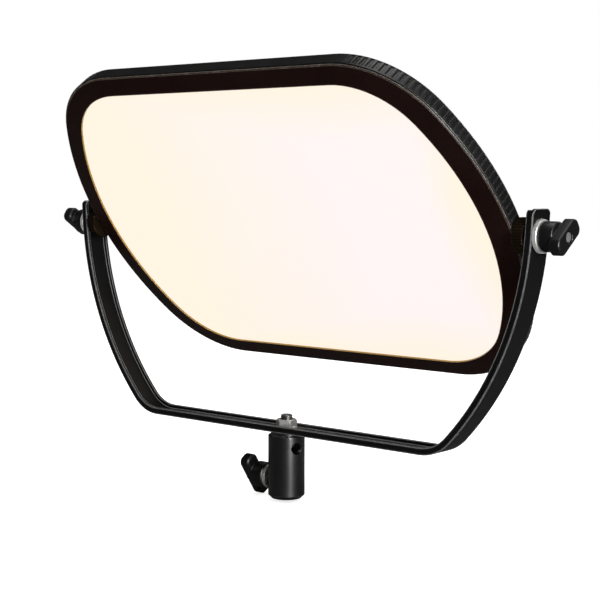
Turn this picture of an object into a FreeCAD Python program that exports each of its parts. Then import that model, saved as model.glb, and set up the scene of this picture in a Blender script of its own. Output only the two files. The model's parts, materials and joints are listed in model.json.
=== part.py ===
import FreeCAD, Part
import math
import os

os.makedirs("parts", exist_ok=True)
V = FreeCAD.Vector
X = V(1, 0, 0)
Y = V(0, 1, 0)
Z = V(0, 0, 1)

# Studio LED panel light in a U-shaped yoke, standing on a stud socket.
# Millimetres. The origin is the centre of the socket's mouth, +Z runs up the bore.
# The light shines towards -Y. +X is on the right of someone facing the diffuser.

# fits
running_gap = 0.3          # free space between pieces that move past each other
shaft_play = 0.05          # radial play of a shaft or screw in its hole
fixed_play = 0.05          # radial play of a fixed piece in its seat
bolt_play = 0.2            # radial play of the bolt and of the washers
head_play = 0.3
overcut = 1.0              # how far a cutting shape passes the face that it cuts
tip_chamfer = 0.6          # ends of screws and studs

# stand socket
socket_radius = 14.0
socket_body = 49.0
neck_radius = 12.0
neck_height = 2.0
socket_chamfer = 2.6
socket_ridge = 0.8
spigot_radius = 8.05       # bore for a 16 mm stand spigot
spigot_depth = 38.0
head_recess_depth = 6.0
sight_hole_radius = 4.5
sight_hole_height = 39.5
sight_hole_turn = -15.0    # degrees off the +X side
clamp_height = 14.2        # clamp screw above the mouth

# yoke bracket, a bent channel bar open towards the panel
yoke_side_gap = 15.5       # panel's side to the outer face of an arm at the pivot
yoke_low_gap = 18.1        # panel's lower edge to the underside of the bar, upright
yoke_rise = 18.2           # pivot axis up to the ends of the arms
yoke_splay = 3.8           # degrees the arms lean outwards above the pivot axis
yoke_arm_radius = 233.0
yoke_corner_radius = 34.0
yoke_thickness = 5.4
yoke_web = 2.4
yoke_depth = 22.3
yoke_lip = 2.5
yoke_end_radius = 5.0
yoke_edge = 0.5
seat_margin = 0.3          # flat seat round a pivot washer
seat_stand = 0.2           # seat's plane outside the arm's face at the pivot axis

# bolt through the bar
bolt_radius = 4.76         # 3/8 inch bolt
bolt_head_radius = 6.6
bolt_head_height = 5.0
bolt_key_width = 5.0
bolt_key_depth = 3.0
bolt_stand_out = 3.6
bolt_chamfer = 1.2
nut_turn = 30.0            # degrees the nut's corners stand off the X axis
nut_width = 14.3
nut_height = 5.6
washer_radius = 8.4
washer_height = 1.6
washer_chamfer = 0.2

# tilt knobs and the socket's clamp knob
knob_radius = 10.2
knob_boss = 10.2
knob_hub_radius = 8.0
knob_shoulder = 1.2
knob_chamfer = 0.8
wing_length = 30.0
wing_width = 12.5
wing_thickness = 8.0
wing_round = 1.5
stud_radius = 2.5
stud_cap_step = 0.8        # cap wider than the stud's shank
stud_cap_height = 1.2
stud_cap_sink = 0.8        # stud's cap below the knob's outer face
stud_cap_rim = 0.8         # recess in the knob wider than the cap
stud_stop = 1.0            # stud's tip short of the insert's inner end
pivot_washer_radius = 11.2
pivot_washer_height = 3.0
right_wing_lean = -50.0
left_wing_lean = -55.0
clamp_wing_lean = -34.0
clamp_wing_length = 37.0
clamp_stud_radius = 4.0
clamp_boss = 10.9
clamp_collar_radius = 9.4
clamp_collar_length = 3.0

# panel outline: flat top and bottom, bowed sides, round corners
tilt_angle = 35.9          # the panel's top leans forward from upright
panel_rise = 5.4           # panel's centre above the pivot axis
panel_half_width = 203.4
panel_half_height = 136.8
panel_side_radius = 196.0
panel_corner_radius = 81.0
border_side = 18.4         # outline to window at the bowed sides
border_top = 15.2          # outline to window at top and bottom
border_side_round = 18.3   # what the window's radii lose against the outline's
border_corner_round = 15.5

# panel depths, measured back from the pivot axis
lip_front = -7.6
diffuser_front = -6.1
diffuser_thickness = 1.5
guide_thickness = 3.0
reflector_thickness = 0.5
plate_thickness = 1.5
bezel_edge_front = -5.5
bezel_edge_chamfer = 0.8
frame_front = -4.5
frame_rear = 7.0
cover_rear = 13.5
cover_wall = 2.0

# bezel, sheets and LED strips
lip_width = 1.5
rim_inset = 0.8            # bezel's edge inside the tops of the ribs
sheet_margin = 5.0         # sheets reach this far under the bezel
sheet_play = 0.5
plate_margin = 9.0
strip_end_gap = 6.5        # LED strip's end to where the window's corner starts
led_count = 24
led_length = 5.0
led_depth = 2.4
led_height = 1.2
led_gap = 0.1
board_thickness = 1.0
flange_thickness = 1.5

# ribbed side frame
frame_wall = 4.0
rib_pitch = 5.0
groove_width = 2.4
groove_depth = 1.1
groove_taper = 0.35
pivot_pad = 9.0            # half height of the plain pad at each pivot
pivot_block_half = 8.0
pivot_block_depth = 4.8
insert_radius = 4.0
spacer_gap = 0.6           # serrated flange to the panel's side
spacer_flange_radius = 12.5
spacer_neck_radius = 6.5
spacer_teeth = 36
spacer_tooth_depth = 0.8

# rear cover
cover_inset = 24.0
cover_seat = 0.3
cover_rim = 2.7
post_radius = 3.5
screw_radius = 1.5
screw_head_radius = 3.0
screw_head_height = 1.8
screw_length = 7.0
screw_crown = 0.8
screw_end_gap = 0.5
screw_border = 33.0        # upper and lower screws below the outline's straight edges
screw_side_gap = 10.0      # side screws beside the battery plates
vent_count = 7
vent_length = 34.0
vent_width = 2.4
vent_pitch = 6.0
vent_gap = 24.0            # battery plate's end to the middle of a vent group
vent_inset = 8.0           # vent group nearer to the middle than the battery plate

# control housing on the rear cover
housing_width = 150.0
housing_height = 92.0
housing_depth = 22.0
housing_draft = 1.2
housing_corner = 10.0
housing_wall = 2.2
housing_rim = 1.4
housing_z = -2.0
cable_hole_width = 60.0
cable_hole_height = 30.0
control_board_gap = 4.0    # inner face of the housing down to the board
control_board_thickness = 1.6
control_board_inset_x = 19.0
control_board_inset_z = 14.0
board_post_radius = 3.0
board_post_inset = 5.0
display_width = 54.0
display_height = 30.0
display_z = 14.0
display_recess = 1.3
display_ledge = 2.0
display_corner = 2.0
display_play = 0.1
tray_side = 4.8            # display's tray wider than its face
tray_end = 3.8
dial_radius = 13.0
dial_height = 12.0
dial_gap = 0.6
dial_inset = 25.0          # dial's middle from the housing's side wall
dial_z = 12.0
dial_flutes = 24
dial_flute_depth = 0.7
dial_shaft_radius = 3.0
encoder_size = 12.0
encoder_floor = 0.5
dial_crown = 1.4
dial_dish = 3.0            # rim round the dial's hollow top
dial_dish_depth = 0.6
dial_roof = 2.0            # shaft's end below the dial's top
button_count = 3
button_pitch = 20.0
button_radius = 4.5
button_flange = 1.2
button_chamfer = 0.5
button_flange_thickness = 1.0
button_stand_out = 1.8
button_travel = 0.8
button_z = -26.0
switch_size = 6.0

# power rocker in the housing's right wall
rocker_half_length = 7.0
rocker_half_width = 4.5
rocker_rise = 2.5
rocker_swing = 8.0
rocker_pin_radius = 1.0
rocker_pin_length = 1.2
rocker_frame_half_length = 11.0
rocker_frame_half_width = 7.5
rocker_frame_lip = 1.5
rocker_frame_depth = 12.0
rocker_sink = 1.0          # rocker's pins below the housing wall
rocker_well_depth = 8.5    # below the pins
rocker_keel = 2.5          # rocker's underside below the pins
rocker_taper = 0.75        # underside's length against the top's
rocker_dip = 1.1           # hollow in the middle of the rocker's face
rocker_pin_play = 0.2
rocker_z = -22.0

# power inlet in the housing's lower wall
inlet_radius = 5.5
inlet_flange_radius = 6.8
inlet_flange = 1.2
inlet_depth = 12.0
inlet_bore_radius = 2.85
inlet_bore_depth = 9.5
inlet_pin_radius = 1.05
inlet_pin_start = 0.5
inlet_chamfer = 0.4
inlet_x = 30.0

# battery plates
battery_gap = 17.0         # housing's side to a battery plate
battery_z = 0.0
battery_plate_width = 40.0
battery_plate_height = 72.0
battery_plate_base = 5.0
battery_corner = 3.0
battery_hook_inset = 3.0
battery_low_hook = 12.0    # plate's lower end to the first pair of hooks
battery_high_hook = 26.0   # plate's upper end to the foot of the second pair
battery_hook_length = 9.0
battery_hook_width = 3.0
battery_hook_rise = 3.2
battery_hook_lip = 1.4
battery_hook_overhang = 1.6
contact_inset = 2.0
contact_block_width = 24.0
contact_block_height = 8.0
contact_block_depth = 5.0
contact_width = 1.2
contact_height = 4.0
contact_depth = 2.4
contact_pitch = 7.0
latch_width = 10.0
latch_height = 7.0
latch_rise = 2.2
latch_toe = 0.4            # low end of the latch's ramp above the plate
latch_travel = 2.0
latch_z = 24.0

# driver electronics behind the back plate
driver_width = 110.0
driver_height = 46.0
driver_lift = 2.5
driver_thickness = 1.6
driver_drop = 66.8         # board's middle above the panel's lower edge
driver_post_radius = 2.5
driver_post_inset = 5.0
coil_count = 4
coil_size = 12.0
coil_depth = 4.5
coil_pitch = 20.0
coil_rise = 10.0           # coils above the board's middle
capacitor_count = 5
capacitor_radius = 3.2
capacitor_depth = 5.0
capacitor_pitch = 16.0
capacitor_drop = 12.0      # capacitors below the board's middle
radio_width = 20.0
radio_height = 13.0
radio_thickness = 1.8
radio_x = 30.0
radio_z = -3.5
radio_can_depth = 1.6
radio_can_edge = 1.5
radio_aerial = 5.0         # bare strip of the board beside the can

# places that follow from the sizes
yoke_half_width = panel_half_width + yoke_side_gap
yoke_drop = panel_half_height + yoke_low_gap   # pivot axis to the underside of the bar
pivot_height = socket_body + neck_height + yoke_drop
window = (panel_half_width - border_side, panel_half_height - border_top,
          panel_side_radius - border_side_round, panel_corner_radius - border_corner_round)
outline = (panel_half_width, panel_half_height, panel_side_radius, panel_corner_radius)
diffuser_back = diffuser_front + diffuser_thickness
guide_back = diffuser_back + guide_thickness
reflector_back = guide_back + reflector_thickness
plate_back = reflector_back + plate_thickness
cover_inner = cover_rear - cover_wall
housing_back = cover_rear + housing_depth
housing_inner = housing_back - housing_wall
control_board_front = housing_inner - control_board_gap
washer_start = yoke_half_width + seat_stand
knob_start = washer_start + pivot_washer_height + running_gap
control_board_width = housing_width - 2 * control_board_inset_x
control_board_height = housing_height - 2 * control_board_inset_z
dial_x = housing_width / 2 - dial_inset
battery_x = housing_width / 2 + battery_gap + battery_plate_width / 2
vent_x = battery_x - vent_inset
vent_z = battery_plate_height / 2 + vent_gap
driver_z = driver_drop - panel_half_height
screw_high = panel_half_height - screw_border
screw_wide = battery_x + battery_plate_width / 2 + screw_side_gap
screw_places = [(x, panel_rise + z) for x, z in
                [(vent_x, screw_high), (0.0, screw_high), (-vent_x, screw_high), (-screw_wide, 0.0),
                 (-vent_x, -screw_high), (0.0, -screw_high), (vent_x, -screw_high), (screw_wide, 0.0)]]


def save(name, shape):
    shape.exportStep(os.path.join("parts", name + ".step"))


def box(x0, x1, y0, y1, z0, z1):
    return Part.makeBox(x1 - x0, y1 - y0, z1 - z0, V(x0, y0, z0))


def round_box(x0, x1, y0, y1, z0, z1, radius):
    body = box(x0, x1, y0, y1, z0, z1)
    along_y = [e for e in body.Edges if abs(e.tangentAt(e.FirstParameter).y) > 0.99]
    return body.makeFillet(radius, along_y)


def rod(radius, start, end):
    span = end - start
    return Part.makeCylinder(radius, span.Length, start, span)


def turned(profile, axis):
    """Solid of revolution: profile is a list of (distance along axis, radius)."""
    across = Z if abs(axis.z) < 0.5 else X
    points = [axis * a + across * r for a, r in profile]
    face = Part.Face(Part.makePolygon(points + [points[0]]))
    return face.revolve(V(0, 0, 0), axis, 360)


def grow(barrel, distance):
    return tuple(size + distance for size in barrel)


def barrel_centres(barrel):
    half_w, half_h, side_r, corner_r = barrel
    side_x = half_w - side_r
    corner_z = half_h - corner_r
    corner_x = side_x + math.sqrt((side_r - corner_r) ** 2 - corner_z ** 2)
    turn = math.atan2(corner_z, corner_x - side_x)
    return side_x, corner_x, corner_z, turn


def barrel_wire(barrel, y):
    """Closed outline with flat top and bottom, bowed sides and round corners."""
    half_w, half_h, side_r, corner_r = barrel
    side_x, corner_x, corner_z, turn = barrel_centres(barrel)

    def arc(sign, cx, cz, radius, start, end):
        angles = (start, (start + end) / 2, end)
        ends = [V(sign * (cx + radius * math.cos(a)), y, panel_rise + cz + radius * math.sin(a))
                for a in angles]
        return Part.Arc(*ends).toShape()

    def side(sign):
        return [arc(sign, corner_x, -corner_z, corner_r, -math.pi / 2, -turn),
                arc(sign, side_x, 0.0, side_r, -turn, turn),
                arc(sign, corner_x, corner_z, corner_r, turn, math.pi / 2)]

    top = Part.makeLine(V(corner_x, y, panel_rise + half_h), V(-corner_x, y, panel_rise + half_h))
    low = Part.makeLine(V(-corner_x, y, panel_rise - half_h), V(corner_x, y, panel_rise - half_h))
    return Part.Wire(Part.__sortEdges__(side(1) + [top] + side(-1) + [low]))


def barrel_prism(barrel, y0, y1):
    return Part.Face(barrel_wire(barrel, y0)).extrude(V(0, y1 - y0, 0))


def barrel_loft(stations):
    """Solid through (barrel, y) stations with straight walls between them."""
    return Part.makeLoft([barrel_wire(barrel, y) for barrel, y in stations], True, True)


def on_pivot(shape):
    """Takes a panel piece, built upright about the pivot axis, to its place in the yoke."""
    placed = shape.copy()
    placed.rotate(V(0, 0, 0), X, tilt_angle)
    placed.translate(V(0, 0, pivot_height))
    return placed


# yoke and stand socket

def arm_centre():
    lean = math.radians(yoke_splay)
    return yoke_half_width - yoke_arm_radius * math.cos(lean), yoke_arm_radius * math.sin(lean)


def arm_face(inset, z):
    """How far out an arm's face stands, at a height below the pivot axis."""
    arm_x, arm_z = arm_centre()
    return arm_x + math.sqrt((yoke_arm_radius - inset) ** 2 - (arm_z - z) ** 2)


def yoke_path(inset):
    """Edges of the U, from the right arm's end round to the left arm's end."""
    lean = math.radians(yoke_splay)
    arm_x, arm_z = arm_centre()
    arm_r = yoke_arm_radius - inset
    corner_r = yoke_corner_radius - inset
    corner_z = yoke_corner_radius - yoke_drop
    down = arm_z - corner_z
    corner_x = arm_x + math.sqrt((yoke_arm_radius - yoke_corner_radius) ** 2 - down ** 2)
    bend = math.atan2(down, corner_x - arm_x)

    def at(cx, cz, radius, angle, sign):
        return V(sign * (cx + radius * math.cos(angle)), 0, cz - radius * math.sin(angle))

    def arm(sign):
        start = at(arm_x, arm_z, arm_r, lean, sign)
        top = V(start.x + sign * (yoke_rise - start.z) * math.tan(lean), 0, yoke_rise)
        curve = Part.Arc(start, at(arm_x, arm_z, arm_r, (lean + bend) / 2, sign),
                         at(arm_x, arm_z, arm_r, bend, sign)).toShape()
        corner = Part.Arc(at(corner_x, corner_z, corner_r, bend, sign),
                          at(corner_x, corner_z, corner_r, (bend + math.pi / 2) / 2, sign),
                          at(corner_x, corner_z, corner_r, math.pi / 2, sign)).toShape()
        return [Part.makeLine(top, start), curve, corner]

    low_z = inset - yoke_drop
    bar = Part.makeLine(V(corner_x, 0, low_z), V(-corner_x, 0, low_z))
    return arm(1) + [bar] + arm(-1)


def yoke_layer(outer_inset, inner_inset, depth):
    outer, inner = yoke_path(outer_inset), yoke_path(inner_inset)
    ends = [Part.makeLine(outer[i].Vertexes[0].Point, inner[i].Vertexes[0].Point) for i in (0, 4)]
    edges = outer + inner + ends
    face = Part.Face(Part.Wire(Part.__sortEdges__(edges)))
    layer = face.extrude(V(0, depth, 0))
    layer.translate(V(0, -depth / 2, 0))
    return layer


def arm_end_corner(side_y):
    """What is taken off an arm's end to round one of its corners."""
    reach = yoke_half_width + yoke_thickness
    half = yoke_depth / 2
    low = min(side_y * half, side_y * (half - yoke_end_radius))
    block = box(-reach, reach, low, low + yoke_end_radius, yoke_rise - yoke_end_radius, yoke_rise)
    centre_y = side_y * (half - yoke_end_radius)
    centre_z = yoke_rise - yoke_end_radius
    return block.cut(rod(yoke_end_radius, V(-reach, centre_y, centre_z), V(reach, centre_y, centre_z)))


def make_yoke():
    bar = yoke_layer(0.0, yoke_thickness, yoke_depth)
    half = yoke_depth / 2
    long_edges = [e for e in bar.Edges
                  if all(abs(abs(v.Point.y) - half) < 1e-6 for v in e.Vertexes)
                  and not all(abs(v.Point.z - yoke_rise) < 1e-6 for v in e.Vertexes)]
    bar = bar.makeChamfer(yoke_edge, long_edges)
    channel = yoke_layer(yoke_web, yoke_thickness + overcut, yoke_depth - 2 * yoke_lip)
    bar = bar.cut(channel)
    for side_y in (1, -1):
        bar = bar.cut(arm_end_corner(side_y))
    reach = V(yoke_half_width + yoke_thickness, 0, 0)
    bar = bar.cut(rod(stud_radius + shaft_play, reach * -1, reach))
    for side in (1, -1):
        bar = bar.cut(rod(pivot_washer_radius + seat_margin, V(side * washer_start, 0, 0), reach * side))
    hole = rod(bolt_radius + bolt_play, V(0, 0, -yoke_drop - overcut), V(0, 0, -yoke_drop + yoke_thickness))
    bar = bar.cut(hole)
    bar.translate(V(0, 0, pivot_height))
    return bar


def make_socket():
    top = socket_body + neck_height
    body = turned([(0, 0), (0, socket_radius - socket_chamfer), (socket_chamfer, socket_radius),
                   (socket_body - socket_ridge, socket_radius), (socket_body, socket_radius - socket_ridge),
                   (socket_body, neck_radius), (top, neck_radius), (top, 0)], Z)
    body = body.cut(rod(spigot_radius, V(0, 0, -overcut), V(0, 0, spigot_depth)))
    recess_top = spigot_depth + head_recess_depth
    body = body.cut(rod(bolt_head_radius + head_play, V(0, 0, spigot_depth - overcut), V(0, 0, recess_top)))
    body = body.cut(rod(bolt_radius + bolt_play, V(0, 0, 0), V(0, 0, top + overcut)))
    sight_hole = rod(sight_hole_radius, V(0, 0, sight_hole_height),
                     V(socket_radius + overcut, 0, sight_hole_height))
    sight_hole.rotate(V(0, 0, 0), Z, sight_hole_turn)
    body = body.cut(sight_hole)
    body = body.cut(rod(clamp_stud_radius + shaft_play, V(0, 0, clamp_height),
                        V(-socket_radius - overcut, 0, clamp_height)))
    return body


def hexagon(width, height, z):
    corner = width / math.sqrt(3)
    angles = [math.radians(60 * i + nut_turn) for i in range(6)]
    points = [V(corner * math.cos(a), corner * math.sin(a), z) for a in angles]
    return Part.Face(Part.makePolygon(points + [points[0]])).extrude(V(0, 0, height))


def make_bolt():
    under_head = spigot_depth + head_recess_depth
    end = pivot_height - yoke_drop + yoke_web + washer_height + nut_height + bolt_stand_out
    low = under_head - bolt_head_height
    body = turned([(low, 0), (low, bolt_head_radius - tip_chamfer), (low + tip_chamfer, bolt_head_radius),
                   (under_head, bolt_head_radius), (under_head, bolt_radius),
                   (end - bolt_chamfer, bolt_radius), (end, bolt_radius - bolt_chamfer), (end, 0)], Z)
    return body.cut(hexagon(bolt_key_width, bolt_key_depth, low))


def ring(radius, hole, height, z):
    body = turned([(0, hole), (0, radius - washer_chamfer), (washer_chamfer, radius),
                   (height - washer_chamfer, radius), (height, radius - washer_chamfer), (height, hole)], Z)
    body.translate(V(0, 0, z))
    return body


def make_nut():
    seat = pivot_height - yoke_drop + yoke_web + washer_height
    corner = nut_width / math.sqrt(3)
    step = corner - nut_width / 2
    cone = turned([(0, 0), (0, nut_width / 2), (step, corner), (nut_height - step, corner),
                   (nut_height, nut_width / 2), (nut_height, 0)], Z)
    cone.translate(V(0, 0, seat))
    body = hexagon(nut_width, nut_height, seat).common(cone)
    top = seat + nut_height
    return body.cut(rod(bolt_radius + fixed_play, V(0, 0, seat - overcut), V(0, 0, top + overcut)))


# wing knobs, built along +X from the end of the boss that faces the arm

def stadium(length, width, x0, x1, round_edge):
    """Bar with round ends, upright, thick along X."""
    half = (length - width) / 2
    r = width / 2
    low, high = V(x0, -r, -half), V(x0, r, half)
    edges = [Part.makeLine(V(x0, r, -half), high),
             Part.Arc(high, V(x0, 0, half + r), V(x0, -r, half)).toShape(),
             Part.makeLine(V(x0, -r, half), low),
             Part.Arc(low, V(x0, 0, -half - r), V(x0, r, -half)).toShape()]
    bar = Part.Face(Part.Wire(edges)).extrude(V(x1 - x0, 0, 0))
    outer_edge = [e for e in bar.Edges if all(abs(v.Point.x - x1) < 1e-6 for v in e.Vertexes)]
    return bar.makeFillet(round_edge, outer_edge)


def wing_knob(boss, bore, length, lean):
    outer = boss + wing_thickness
    hub = turned([(0, 0), (0, knob_radius - knob_chamfer), (knob_chamfer, knob_radius),
                  (boss, knob_radius), (boss + knob_shoulder, knob_hub_radius),
                  (outer - knob_chamfer, knob_hub_radius),
                  (outer, knob_hub_radius - knob_chamfer), (outer, 0)], X)
    wing = stadium(length, wing_width, boss, outer, wing_round)
    wing.rotate(V(0, 0, 0), X, lean)
    body = hub.fuse(wing).removeSplitter()
    body = body.cut(rod(bore + fixed_play, V(-overcut, 0, 0), V(outer + overcut, 0, 0)))
    seat = outer - stud_cap_sink - stud_cap_height
    return body.cut(rod(bore + stud_cap_step + stud_cap_rim, V(seat, 0, 0), V(outer + overcut, 0, 0)))


def stud(radius, inner_end, outer_end):
    """Steel screw through a knob, with its flat cap sunk in the knob's outer face."""
    cap_end = outer_end - stud_cap_sink
    cap_start = cap_end - stud_cap_height
    return turned([(inner_end, 0), (inner_end, radius - tip_chamfer), (inner_end + tip_chamfer, radius),
                   (cap_start, radius), (cap_start, radius + stud_cap_step),
                   (cap_end, radius + stud_cap_step), (cap_end, 0)], X)


def to_side(shape, side):
    """Puts a piece built along +X on the right arm, or turned about Z on the left."""
    placed = shape.copy()
    if side < 0:
        placed.rotate(V(0, 0, 0), Z, 180)
    placed.translate(V(0, 0, pivot_height))
    return placed


def make_tilt_knob(side, lean):
    knob = wing_knob(knob_boss, stud_radius, wing_length, lean)
    knob.translate(V(knob_start, 0, 0))
    return to_side(knob, side)


def make_tilt_stud(side):
    outer_end = knob_start + knob_boss + wing_thickness
    inner_end = panel_half_width - frame_wall - pivot_block_depth + stud_stop
    return to_side(stud(stud_radius, inner_end, outer_end), side)


def make_pivot_washer(side):
    height = pivot_washer_height
    hole = stud_radius + bolt_play
    body = turned([(0, hole), (0, pivot_washer_radius), (height - washer_chamfer, pivot_washer_radius),
                   (height, pivot_washer_radius - washer_chamfer), (height, hole)], X)
    body.translate(V(washer_start, 0, 0))
    return to_side(body, side)


def to_clamp(shape):
    placed = shape.copy()
    placed.rotate(V(0, 0, 0), Z, 180)
    placed.translate(V(0, 0, clamp_height))
    return placed


def make_clamp_knob():
    knob = wing_knob(clamp_boss, clamp_stud_radius, clamp_wing_length, clamp_wing_lean)
    knob.translate(V(socket_radius + running_gap + clamp_collar_length, 0, 0))
    return to_clamp(knob)


def make_clamp_screw():
    collar_start = socket_radius + running_gap
    collar_end = collar_start + clamp_collar_length
    tip = spigot_radius + running_gap
    collar = turned([(collar_start, 0), (collar_start, clamp_collar_radius),
                     (collar_end, clamp_collar_radius), (collar_end, 0)], X)
    return to_clamp(stud(clamp_stud_radius, tip, collar_end + clamp_boss + wing_thickness).fuse(collar))


# panel: frame, bezel, light stack

def rib_outline(barrel, y):
    """Outline with a groove between each pair of ribs on the bowed sides and corners."""
    side_x, corner_x, corner_z, turn = barrel_centres(barrel)
    side_r, corner_r = barrel[2], barrel[3]
    corner_run = corner_r * (math.pi / 2 - turn)
    side_run = 2 * side_r * turn
    full_run = 2 * corner_run + side_run

    def at(run, inset):
        if run < corner_run:
            cx, cz, radius, angle = corner_x, -corner_z, corner_r, run / corner_r - math.pi / 2
        elif run < corner_run + side_run:
            cx, cz, radius, angle = side_x, 0.0, side_r, (run - corner_run) / side_r - turn
        else:
            rest = run - corner_run - side_run
            cx, cz, radius, angle = corner_x, corner_z, corner_r, rest / corner_r + turn
        return cx + (radius - inset) * math.cos(angle), cz + (radius - inset) * math.sin(angle)

    count = int(full_run / rib_pitch)
    pitch = full_run / count
    half = groove_width / 2
    places = [at(0.0, 0.0)]
    for i in range(count):
        middle = (i + 0.5) * pitch
        height = at(middle, 0.0)[1] + panel_rise
        if abs(height) < pivot_pad:
            places.append(at(middle, 0.0))
            continue
        places += [at(middle - half, 0.0), at(middle - half + groove_taper, groove_depth),
                   at(middle + half - groove_taper, groove_depth), at(middle + half, 0.0)]
    places.append(at(full_run, 0.0))
    right = [V(x, y, z + panel_rise) for x, z in places]
    left = [V(-p.x, y, p.z) for p in reversed(right)]
    return Part.makePolygon(right + left + [right[0]])


def make_side_frame():
    depth = V(0, frame_rear - frame_front, 0)
    body = Part.Face(rib_outline(outline, frame_front)).extrude(depth)
    body = body.cut(barrel_prism(grow(outline, -frame_wall), frame_front - overcut, frame_rear + overcut))
    inner_x = panel_half_width - frame_wall
    for side in (1, -1):
        low = min(side * (inner_x - pivot_block_depth), side * (inner_x + overcut))
        body = body.fuse(box(low, low + pivot_block_depth + overcut, frame_front, frame_rear,
                             -pivot_block_half, pivot_block_half))
    reach = V(panel_half_width + overcut, 0, 0)
    return body.cut(rod(insert_radius + fixed_play, reach * -1, reach))


def make_bezel():
    rim = grow(outline, -rim_inset)
    rim_front = bezel_edge_front + bezel_edge_chamfer
    shape = barrel_loft([(grow(window, lip_width), lip_front),
                         (grow(rim, -bezel_edge_chamfer), bezel_edge_front), (rim, rim_front)])
    shape = shape.fuse(barrel_prism(rim, rim_front, frame_front))
    shape = shape.cut(barrel_prism(grow(window, sheet_margin + sheet_play), diffuser_front, 0))
    shape = shape.cut(barrel_prism(window, lip_front - overcut, 0))
    return shape.removeSplitter()


def make_sheet(front, back):
    return barrel_prism(grow(window, sheet_margin), front, back)


def strip_top():
    """Height of the light guide's straight edge above the panel's centre."""
    return window[1] + sheet_margin + led_gap


def strip_half_length():
    return barrel_centres(window)[1] - strip_end_gap


def make_back_plate():
    plate = barrel_prism(grow(window, plate_margin), reflector_back, plate_back)
    low = strip_top() + led_height + board_thickness
    for sign in (1, -1):
        z0 = panel_rise + min(sign * low, sign * (low + flange_thickness))
        plate = plate.fuse(box(-strip_half_length(), strip_half_length(), frame_front, reflector_back,
                               z0, z0 + flange_thickness))
    for x, z in screw_places:
        post = rod(post_radius, V(x, plate_back, z), V(x, cover_inner, z))
        plate = plate.fuse(post)
        plate = plate.cut(rod(screw_radius + fixed_play, V(x, cover_inner - screw_length, z),
                              V(x, cover_inner + overcut, z)))
    return plate


def make_led_board(sign):
    low = strip_top() + led_height
    z0 = panel_rise + min(sign * low, sign * (low + board_thickness))
    half = strip_half_length()
    return box(-half, half, frame_front, reflector_back, z0, z0 + board_thickness)


def make_leds(sign):
    pitch = 2 * strip_half_length() / led_count
    z0 = panel_rise + min(sign * strip_top(), sign * (strip_top() + led_height))
    middle = (diffuser_back + guide_back) / 2
    leds = []
    for i in range(led_count):
        x = -strip_half_length() + (i + 0.5) * pitch
        leds.append(box(x - led_length / 2, x + led_length / 2, middle - led_depth / 2,
                        middle + led_depth / 2, z0, z0 + led_height))
    return Part.makeCompound(leds)


def make_spacer(side):
    """Brass pivot insert with a serrated flange beside the arm."""
    start = panel_half_width - frame_wall - pivot_block_depth
    end = arm_face(yoke_web, -spacer_neck_radius) - running_gap
    flange_start = panel_half_width + spacer_gap
    flange_end = arm_face(yoke_thickness, -spacer_flange_radius) - running_gap
    body = rod(insert_radius, V(start, 0, 0), V(end, 0, 0))
    body = body.fuse(rod(spacer_neck_radius, V(flange_start, 0, 0), V(end, 0, 0)))
    points = []
    for i in range(2 * spacer_teeth):
        angle = math.pi * i / spacer_teeth
        radius = spacer_flange_radius - (spacer_tooth_depth if i % 2 else 0.0)
        points.append(V(flange_start, radius * math.cos(angle), radius * math.sin(angle)))
    flange = Part.Face(Part.makePolygon(points + [points[0]])).extrude(V(flange_end - flange_start, 0, 0))
    body = body.fuse(flange)
    body = body.cut(rod(stud_radius + shaft_play, V(start - overcut, 0, 0), V(end + overcut, 0, 0)))
    if side < 0:
        body.rotate(V(0, 0, 0), Z, 180)
    return on_pivot(body)


# rear cover and housing

def rear_slot(x, z, length, width, y0, y1):
    half = (length - width) / 2
    slot = box(x - half, x + half, y0, y1, z - width / 2, z + width / 2)
    for sign in (1, -1):
        slot = slot.fuse(rod(width / 2, V(x + sign * half, y0, z), V(x + sign * half, y1, z)))
    return slot


def make_rear_cover():
    outer = barrel_loft([(grow(outline, -cover_seat), frame_rear),
                         (grow(outline, -cover_inset), cover_rear)])
    hollow = barrel_loft([(grow(outline, -cover_seat - cover_rim), frame_rear),
                          (grow(outline, -cover_inset - cover_rim), cover_inner)])
    cover = outer.cut(hollow)
    for sign_x in (1, -1):
        for sign_z in (1, -1):
            for i in range(vent_count):
                z = sign_z * (vent_z + (i - (vent_count - 1) / 2) * vent_pitch)
                cover = cover.cut(rear_slot(sign_x * vent_x, z, vent_length, vent_width,
                                            cover_inner - overcut, cover_rear + overcut))
    for x, z in screw_places:
        cover = cover.cut(rod(screw_radius + fixed_play, V(x, cover_inner - overcut, z),
                              V(x, cover_rear + overcut, z)))
    cable = box(-cable_hole_width / 2, cable_hole_width / 2, cover_inner - overcut, cover_rear + overcut,
                housing_z - cable_hole_height / 2, housing_z + cable_hole_height / 2)
    return cover.cut(cable)


def pan_screw(x, z, seat, length):
    head = screw_head_height
    body = turned([(-length, 0), (-length, screw_radius), (0, screw_radius), (0, screw_head_radius),
                   (head - screw_crown, screw_head_radius), (head, screw_head_radius - screw_crown),
                   (head, 0)], Y)
    body.translate(V(x, seat, z))
    return body


def make_cover_screws():
    return Part.makeCompound([pan_screw(x, z, cover_rear, screw_length + cover_wall - screw_end_gap)
                              for x, z in screw_places])


def housing_block(inset, y0, y1):
    """Tapered block with round corners, inset from the housing's outside."""
    sections = []
    for y in (y0, y1):
        taper = housing_draft * (y - cover_rear) / housing_depth
        half_w = housing_width / 2 - inset - taper
        half_h = housing_height / 2 - inset - taper
        face = round_box(-half_w, half_w, y, y + 1, housing_z - half_h, housing_z + half_h,
                         housing_corner - inset)
        back = [f for f in face.Faces if abs(f.CenterOfMass.y - y) < 1e-6][0]
        sections.append(back.OuterWire)
    return Part.makeLoft(sections, True, True)


def dial_places():
    return [(-dial_x, dial_z), (dial_x, dial_z)]


def button_places():
    return [((i - (button_count - 1) / 2) * button_pitch, button_z) for i in range(button_count)]


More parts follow.
